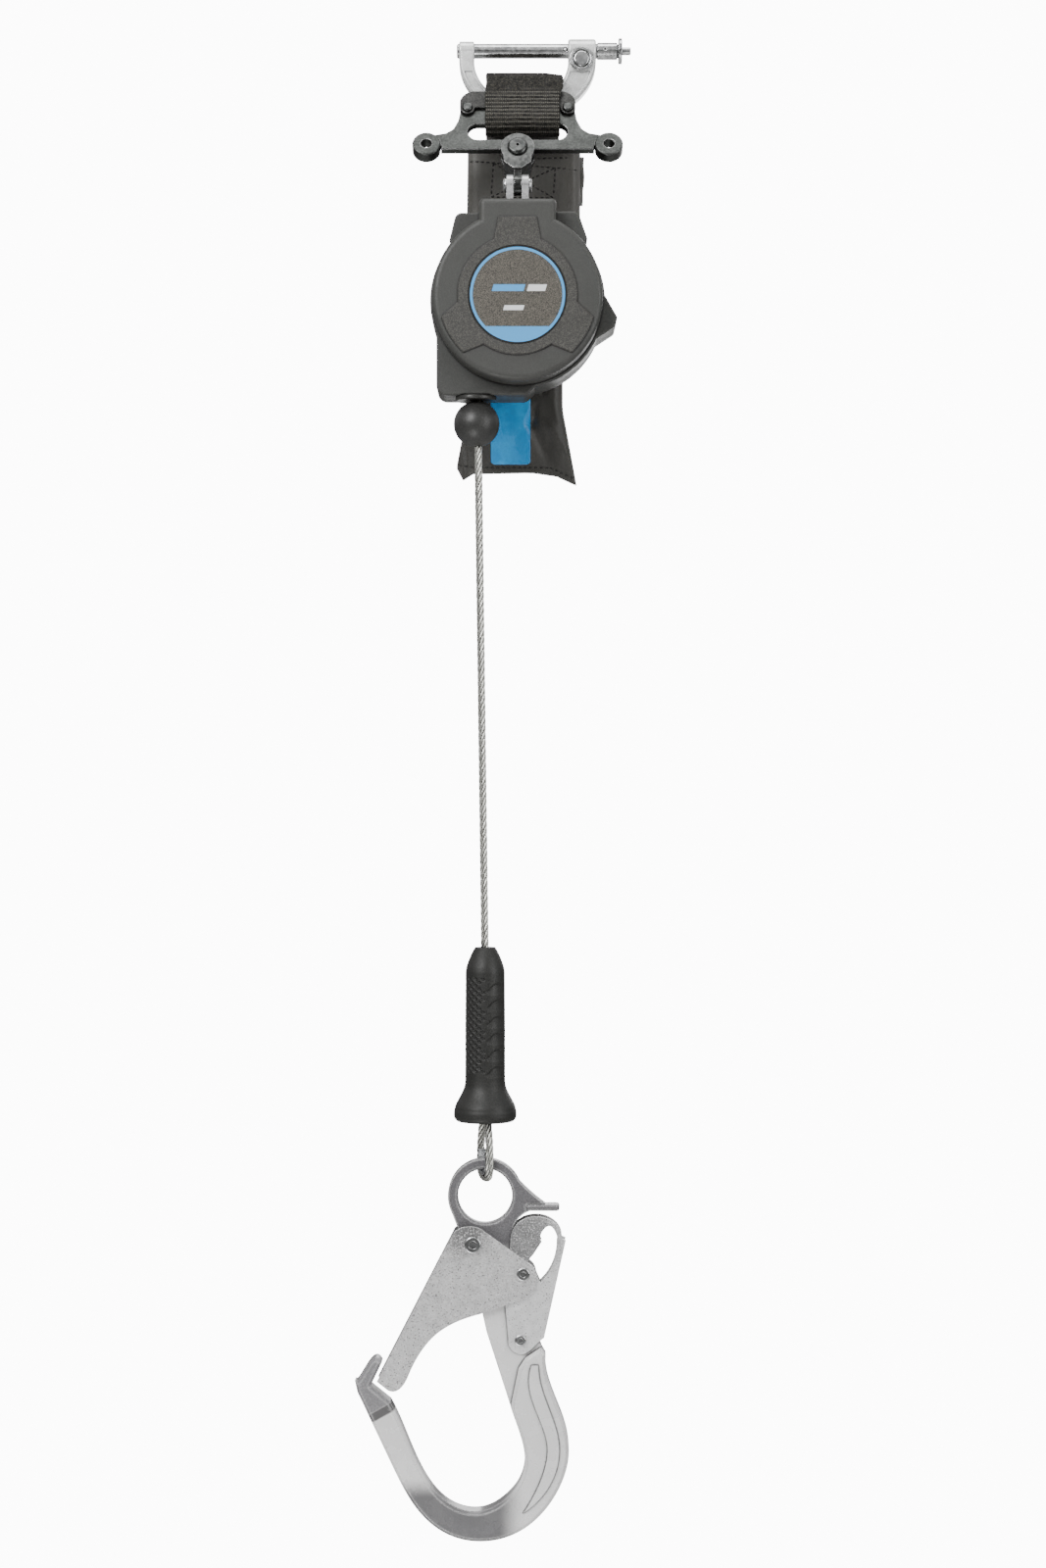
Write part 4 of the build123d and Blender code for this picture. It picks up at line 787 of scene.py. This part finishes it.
def housing_plastic(name, speckled):
    """Matte charcoal moulding; the star and ring are spark-eroded and so finely speckled, with a painted
    shade line round their step, painted shade in the grooves and a painted highlight on the edges."""
    f = Finish(name, Metallic=0.0, Specular_IOR_Level=0.42)
    fine = f.noise(1900.0, 2.0)
    y = f.axes()["Y"]
    base = f.mix(f.between(fine, 0.3, 0.75), (0.042, 0.043, 0.040), (0.055, 0.056, 0.052))
    if speckled:
        star = f.between(y, (STAR_Y + 0.1) * MM, (STAR_Y - 0.1) * MM)
        specks = f.mix(f.between(fine, 0.42, 0.66), (0.034, 0.034, 0.031), (0.080, 0.078, 0.070))
        base = f.mix(star, base, specks)
    # Painted shade: darker in grooves and corners narrower than 2.2 mm.
    groove_shade = f.open_air(2.2, 0.55, 0.95)
    base = f.mix(groove_shade, (0.008, 0.008, 0.008), base)
    # Painted highlight along the open edges.
    base = f.mix(f.product(f.edges(0.5 * MM), groove_shade, 0.5), base, (0.12, 0.12, 0.115))
    if speckled:
        # Painted shade line along the edges of the star's step.
        front = f.between(y, (STEP_Y + 0.05) * MM, (STEP_Y - 0.1) * MM)
        base = f.mix(f.product(f.edges(0.9 * MM, 0.02, 0.12), front), base, (0.006, 0.006, 0.006))
    f.colour(base)
    f.roughness(f.noise(90.0), 0.42, 0.56)
    f.bump(fine, 0.05 * MM, 0.7, 0.6 * MM)
    return f.material


# The label's print, in millimetres from the hub: radii of the blue rim and the black edge, the top of
# the blue foot, the printing's soft edge, and (X, Z) spans of the plain bars.
RIM_R, EDGE_R = 27.0, 28.6
FOOT_Z = -19.2
PRINT_SOFT = 0.12
BLUE_BAR = ((-16.0, 3.0), (2.0, 6.0))
WHITE_BARS = (((5.0, 16.0), (2.0, 6.0)), ((-6.0, 6.0), (-9.5, -6.5)))
BAR_SLANT = 0.28


def label_print():
    """Speckled taupe film with a blue rim, a blue foot and three plain bars."""
    f = Finish("label_print", Metallic=0.0, Roughness=0.34)
    x, z = f.axes()["X"], f.calc("SUBTRACT", f.axes()["Z"], HUB_Z)
    r = f.calc("SQRT", f.calc("ADD", f.product(x, x), f.product(z, z)))
    slanted = f.calc("SUBTRACT", x, f.product(z, BAR_SLANT))

    def beyond(value, edge):
        return f.between(value, (edge - PRINT_SOFT) * MM, (edge + PRINT_SOFT) * MM)

    def before(value, edge):
        return f.between(value, (edge + PRINT_SOFT) * MM, (edge - PRINT_SOFT) * MM)

    def bar(across, up):
        return f.product(beyond(slanted, across[0]), before(slanted, across[1]),
                         beyond(z, up[0]), before(z, up[1]))

    blue = f.calc("MAXIMUM", f.calc("MAXIMUM", beyond(r, RIM_R), before(z, FOOT_Z)), bar(*BLUE_BAR))
    white = f.calc("MAXIMUM", *(bar(*spans) for spans in WHITE_BARS))
    taupe = f.mix(f.between(f.noise(2600.0, 2.0), 0.4, 0.66), (0.040, 0.037, 0.032), (0.16, 0.148, 0.124))
    printed = f.mix(white, f.mix(blue, taupe, (0.075, 0.36, 0.74)), (0.78, 0.79, 0.80))
    f.colour(f.mix(beyond(r, EDGE_R), printed, (0.012, 0.012, 0.012)))
    f.bump(f.noise(2600.0, 2.0), 0.02 * MM, 0.5, 0.2 * MM)
    return f.material


def cable_metal():
    """Bright galvanised strand, with painted shade down in the valleys."""
    f = Finish("cable_metal", Metallic=1.0)
    base = f.mix(f.between(f.noise(900.0), 0.35, 0.7), (0.50, 0.50, 0.46), (0.80, 0.80, 0.75))
    # Painted shade in the valleys between the strands.
    f.colour(f.mix(f.open_air(1.2, 0.45, 0.92), (0.035, 0.035, 0.028), base))
    f.roughness(f.noise(500.0), 0.26, 0.42)
    f.bump(f.noise(2400.0), 0.02 * MM, 0.6)
    return f.material


def gate_metal(name, dark, pale, dark_at, reach):
    """Grainy blasted steel with bright sheared edges, partly painted highlight, dark at one place and pale
    reach away from it.
    """
    f = Finish(name, Metallic=0.6)
    spread = f.node("VectorMath", f.coords, tuple(dark_at), operation="DISTANCE").outputs["Value"]
    cloud = f.calc("ADD", f.between(spread, 0.0, reach), f.product(f.noise(260.0), 0.22))
    tone = f.mix(f.between(cloud, 0.25, 1.0), dark, pale)
    grain = f.noise(1100.0, 2.0)
    tone = f.mix(f.between(grain, 0.52, 0.72), tone, (0.9, 0.9, 0.9))
    tone = f.mix(f.between(grain, 0.42, 0.26), tone, tuple(c * 0.55 for c in dark))
    # Bright edges: sheared steel, partly painted highlight.
    edge = f.edges(0.7 * MM)
    f.colour(f.mix(f.product(edge, 0.85), tone, (0.93, 0.93, 0.93)))
    f.roughness(f.calc("SUBTRACT", f.noise(260.0), f.product(edge, 0.3)), 0.34, 0.47)
    f.bump(grain, 0.045 * MM, 0.8, 0.45 * MM)
    return f.material


# Where the hook's finish and its painted step shade change, in millimetres; each pair is the start and the
# end of a fade.
EYE_FOOT_Z = (-748.0, -738.0)
SHANK_LEAN, SHANK_AT = 0.42, (-416.0, -423.0)    # X + lean Z on the nose's side of the hook
NOSE_LEAN, NOSE_FROM = 0.56, (-793.0, -791.5)    # Z - lean X above the step
STEP_FROM = (-799.0, -797.5)                     # Z - lean X above the lower end of the step
SWEEP_Z, SWEEP_X = (-880.0, -894.0), (6.0, -12.0)


def forged_metal():
    """Bright tumbled forging with grey satin flats on the eye and the nose, painted shade for the nose's
    step, a dark sweep low down, painted highlights and dark painted reflections on raised edges, and painted
    shade in corners."""
    f = Finish("forged", Metallic=0.2)

    def fade(value, pair):
        return f.between(value, pair[0] * MM, pair[1] * MM)

    x, z = f.axes()["X"], f.axes()["Z"]
    eye = fade(z, EYE_FOOT_Z)
    shank = fade(f.calc("ADD", x, f.product(z, SHANK_LEAN)), SHANK_AT)
    leaning = f.calc("SUBTRACT", z, f.product(x, NOSE_LEAN))
    nose = f.product(shank, fade(leaning, NOSE_FROM))
    # Mask of the painted shade band that stands in for the nose's step.
    step = f.product(shank, fade(leaning, STEP_FROM), fade(leaning, NOSE_FROM[::-1]))
    fine = f.noise(1300.0, 2.0)
    bright = f.mix(f.between(f.noise(14.0, 1.0), 0.35, 0.65), (0.88, 0.875, 0.87), (0.97, 0.965, 0.96))
    nose_grey = f.mix(f.between(fine, 0.4, 0.7), (0.20, 0.196, 0.205), (0.33, 0.325, 0.335))
    eye_grey = f.mix(f.between(fine, 0.4, 0.7), (0.125, 0.122, 0.128), (0.215, 0.21, 0.22))
    base = f.mix(eye, f.mix(nose, bright, nose_grey), eye_grey)
    base = f.mix(f.product(fade(z, SWEEP_Z), fade(x, SWEEP_X), 0.9), base, (0.090, 0.087, 0.093))
    # Painted shade for the nose's step.
    base = f.mix(f.product(step, 0.9), base, (0.055, 0.053, 0.055))
    # Painted highlight on the raised edges.
    base = f.mix(f.product(f.edges(2.2 * MM, 0.02, 0.10), 0.9), base, (0.98, 0.98, 0.98))
    # Painted dark reflection line round the raised edges.
    base = f.mix(f.product(f.edges(1.3 * MM, 0.03, 0.15), 0.85), base, (0.12, 0.12, 0.125))
    # Painted shade in corners narrower than 2.4 mm.
    f.colour(f.mix(f.open_air(2.4, 0.5, 0.92, samples=12), (0.06, 0.06, 0.06), base))
    satin = f.calc("MAXIMUM", eye, nose)
    f.roughness(f.calc("ADD", f.noise(90.0), f.product(satin, 0.25)), 0.16, 0.34)
    f.bump(fine, 0.008 * MM, 0.5, 0.9 * MM)
    return f.material


RIB_SHINE = 2.5                      # from one painted rib highlight of the webbing to the next, in Z
RIB_HIGHLIGHT_Z = (-24.0, -30.0)            # the painted rib highlights show from here down


def webbing_yarn():
    """Black polyester with a painted brown-grey highlight on every yarn, most of all on the ribs, and painted
    shade between yarns.
    """
    f = Finish("webbing_yarn", Metallic=0.0, Sheen_Weight=0.03, Sheen_Roughness=0.4, Specular_IOR_Level=0.2)
    thread = f.noise(1100.0, 3.0, (1, 1, 2.5))
    # Painted highlight on exposed yarns and painted shade in the grooves between them.
    high = f.product(f.open_air(1.0, 0.62, 0.97), f.between(thread, 0.48, 0.62))
    base = f.mix(high, (0.0015, 0.0015, 0.0012), (0.050, 0.046, 0.037))
    x, z = f.axes()["X"], f.axes()["Z"]
    weft = f.calc("SINE", f.product(z, 2 * math.pi / (RIB_SHINE * MM)))
    bead = f.calc("SINE", f.product(x, 2 * math.pi / (YARN * MM)))
    shine = f.product(f.between(weft, 0.35, 0.9), f.between(bead, -0.9, 0.4))
    uneven = f.calc("ADD", z, f.product(f.noise(60.0, 1.0), 8 * MM))
    rib_highlight_zone = f.between(uneven, RIB_HIGHLIGHT_Z[0] * MM, RIB_HIGHLIGHT_Z[1] * MM)
    # Painted highlight: pale beads along the ribs.
    f.colour(f.mix(f.product(shine, rib_highlight_zone, 0.9), base, (0.14, 0.135, 0.12)))
    f.roughness(f.noise(300.0), 0.55, 0.75)
    f.bump(thread, 0.10 * MM, 0.9)
    return f.material


WEAVE = 0.55                         # from one thread of the sleeve's cloth to the next
LIT_TOP_Z = (-185.0, -105.0)         # painted light: the cloth is painted paler from here up


def coated_cloth():
    """Black coated sleeve cloth: a fine plain weave under a satin skin, painted paler higher up as painted
    light.
    """
    f = Finish("coated_cloth", Metallic=0.0, Specular_IOR_Level=0.4, Sheen_Weight=0.12)
    x, z = f.axes()["X"], f.axes()["Z"]
    warp, weft = (f.calc("SINE", f.product(value, 2 * math.pi / (WEAVE * MM))) for value in (x, z))
    scuff = f.noise(35.0, 6.0, (1, 1, 0.5))
    base = f.mix(f.between(scuff, 0.4, 0.75), (0.027, 0.026, 0.023), (0.054, 0.052, 0.047))
    # Painted light: the upper sleeve is painted paler, where more light falls on it.
    upper = f.between(z, LIT_TOP_Z[0] * MM, LIT_TOP_Z[1] * MM)
    f.colour(f.mix(f.product(upper, 0.75), base, (0.082, 0.079, 0.072)))
    f.roughness(scuff, 0.40, 0.56)
    f.bump(f.calc("ADD", f.product(warp, weft, 0.25), f.noise(260.0, 4.0)), 0.07 * MM, 0.6)
    return f.material


def rubber(name, dark, pale, rough):
    """Finely grained rubber, with painted shade in its hollows."""
    f = Finish(name, Metallic=0.0, Specular_IOR_Level=0.45)
    base = f.mix(f.between(f.noise(1300.0, 2.0), 0.35, 0.7), dark, pale)
    # Painted shade in hollows narrower than 1.6 mm.
    f.colour(f.mix(f.open_air(1.6, 0.4, 0.95), tuple(c * 0.25 for c in dark), base))
    f.roughness(f.noise(120.0), *rough)
    f.bump(f.noise(1700.0, 3.0), 0.06 * MM, 0.7)
    return f.material


def printed_blue():
    f = Finish("printed_blue", Metallic=0.0, Specular_IOR_Level=0.4)
    f.colour(f.mix(f.between(f.noise(70.0, 5.0), 0.35, 0.7), (0.012, 0.25, 0.60), (0.022, 0.35, 0.76)))
    f.roughness(f.noise(300.0), 0.38, 0.5)
    f.bump(f.noise(900.0), 0.05 * MM, 0.5)
    return f.material


def dress(finish, *names):
    """Gives CAD nodes or pieces one finish."""
    for name in names:
        piece = frame["nodes"].get(name) or bpy.data.objects[name]
        piece.data.materials.clear()
        piece.data.materials.append(finish)


# ---------------------------------------------------------------- who wears what
# A lighter copy of the zinc finish for the shackle: painted light.
dress(metal("zinc_painted_light", (0.78, 0.79, 0.78), (0.97, 0.98, 0.97), (0.20, 0.34), grain=420.0, depth=0.02,
            wear_and_highlight=0.6, reach=2.2, corner_shade=0.15, metallic=0.4), "shackle_body")
dress(metal("zinc", (0.40, 0.405, 0.41), (0.76, 0.77, 0.77), (0.14, 0.28), grain=420.0, depth=0.02,
            soft=0.45, wear_and_highlight=0.9, reach=2.2, corner_shade=0.25), "connector_pin", "button_bezel")
dress(metal("zinc_clevis", (0.50, 0.505, 0.51), (0.66, 0.665, 0.67), (0.24, 0.34), grain=300.0, depth=0.005,
            soft=0.3, wear_and_highlight=0.15, reach=1.6, corner_shade=0.2, metallic=0.7), "swivel_clevis")
# A darker copy of the zinc finish for the hanger and rivets: painted shade.
dress(metal("zinc_painted_shade", (0.045, 0.047, 0.046), (0.105, 0.108, 0.105), (0.22, 0.36), grain=420.0, depth=0.02,
            wear_and_highlight=1.0, reach=2.2, corner_shade=0.25), "hanger", "keeper_rivets", "swivel_rivet")
dress(metal("zinc_smooth", (0.46, 0.465, 0.47), (0.74, 0.75, 0.75), (0.12, 0.22), grain=300.0, depth=0.01,
            soft=0.3, wear_and_highlight=0.8),
      "pin_plunger", "collar_roll_pin", "detent_balls", "lock_button", "link_pin", "swivel_nut", "gate_rivet",
      "gate_lock_pin", "lever_rivet")
dress(metal("dull_steel", (0.052, 0.055, 0.052), (0.090, 0.094, 0.090), (0.32, 0.44), grain=900.0,
            depth=0.02, soft=1.1, wear_and_highlight=1.0), "yoke_plate")
dress(metal("keeper_steel", (0.030, 0.030, 0.029), (0.062, 0.062, 0.060), (0.36, 0.48), grain=900.0,
            depth=0.02, wear_and_highlight=0.5), "keeper_plate")
dress(metal("dark_steel", (0.07, 0.07, 0.07), (0.14, 0.14, 0.14), (0.38, 0.52)),
      "ratchet_ring", "pawl_a", "pawl_b", "pawl_pins")
dress(metal("plain_steel", (0.5, 0.5, 0.5), (0.68, 0.69, 0.7), (0.22, 0.38)),
      "front_side_plate", "rear_side_plate", "swivel_bridge", "frame_spacers", "drum_shaft", "shaft_clip",
      "cover_screws", "spring_arbor", "spring_case")
dress(metal("spring_steel", (0.32, 0.32, 0.33), (0.52, 0.52, 0.53), (0.18, 0.30), grain=900.0, depth=0.01,
            soft=0.1), "plunger_spring", "button_spring", "power_spring", "gate_springs", "lever_spring")
dress(metal("cast_alloy", (0.52, 0.53, 0.54), (0.72, 0.73, 0.74), (0.30, 0.45)),
      "drum", "stop_ferrule", "swage_ferrule")
dress(metal("galvanised", (0.55, 0.57, 0.58), (0.80, 0.82, 0.83), (0.22, 0.36)), "thimble")
dress(cable_metal(), "wound_lifeline", "lead_in_cable", "hanging_cable", "payout_line", "cable_loop")
dress(forged_metal(), "hook_frame")
dress(gate_metal("gate_steel", (0.22, 0.218, 0.22), (0.72, 0.715, 0.715),
                 dark_at=(-33 * MM, MID_Y, -727 * MM), reach=34 * MM), "gate")
dress(gate_metal("lever_steel", (0.30, 0.30, 0.302), (0.93, 0.93, 0.93),
                 dark_at=(4 * MM, MID_Y, -735 * MM), reach=40 * MM), "lock_lever")
dress(housing_plastic("front_plastic", speckled=True), "front_cover")
dress(housing_plastic("rear_plastic", speckled=False), "rear_cover")
dress(label_print(), "label_plate")
dress(plastic("acetal", (0.70, 0.68, 0.60), (0.80, 0.78, 0.70), (0.35, 0.5)), "drum_bush")
dress(plastic("nozzle_plastic", (0.020, 0.020, 0.019), (0.032, 0.032, 0.030), (0.30, 0.42)), "cable_nozzle")
dress(rubber("ball_rubber", (0.024, 0.024, 0.023), (0.038, 0.038, 0.036), (0.34, 0.44)), "ball_stop")
dress(rubber("grip_rubber", (0.010, 0.010, 0.009), (0.020, 0.020, 0.018), (0.46, 0.60)), "grip")
dress(webbing_yarn(), "webbing")
dress(coated_cloth(), "absorber_pack", "sleeve")
dress(plastic("thread", (0.004, 0.004, 0.004), (0.010, 0.010, 0.009), (0.5, 0.7)), "sleeve_stitching")
dress(printed_blue(), "sleeve_patch")
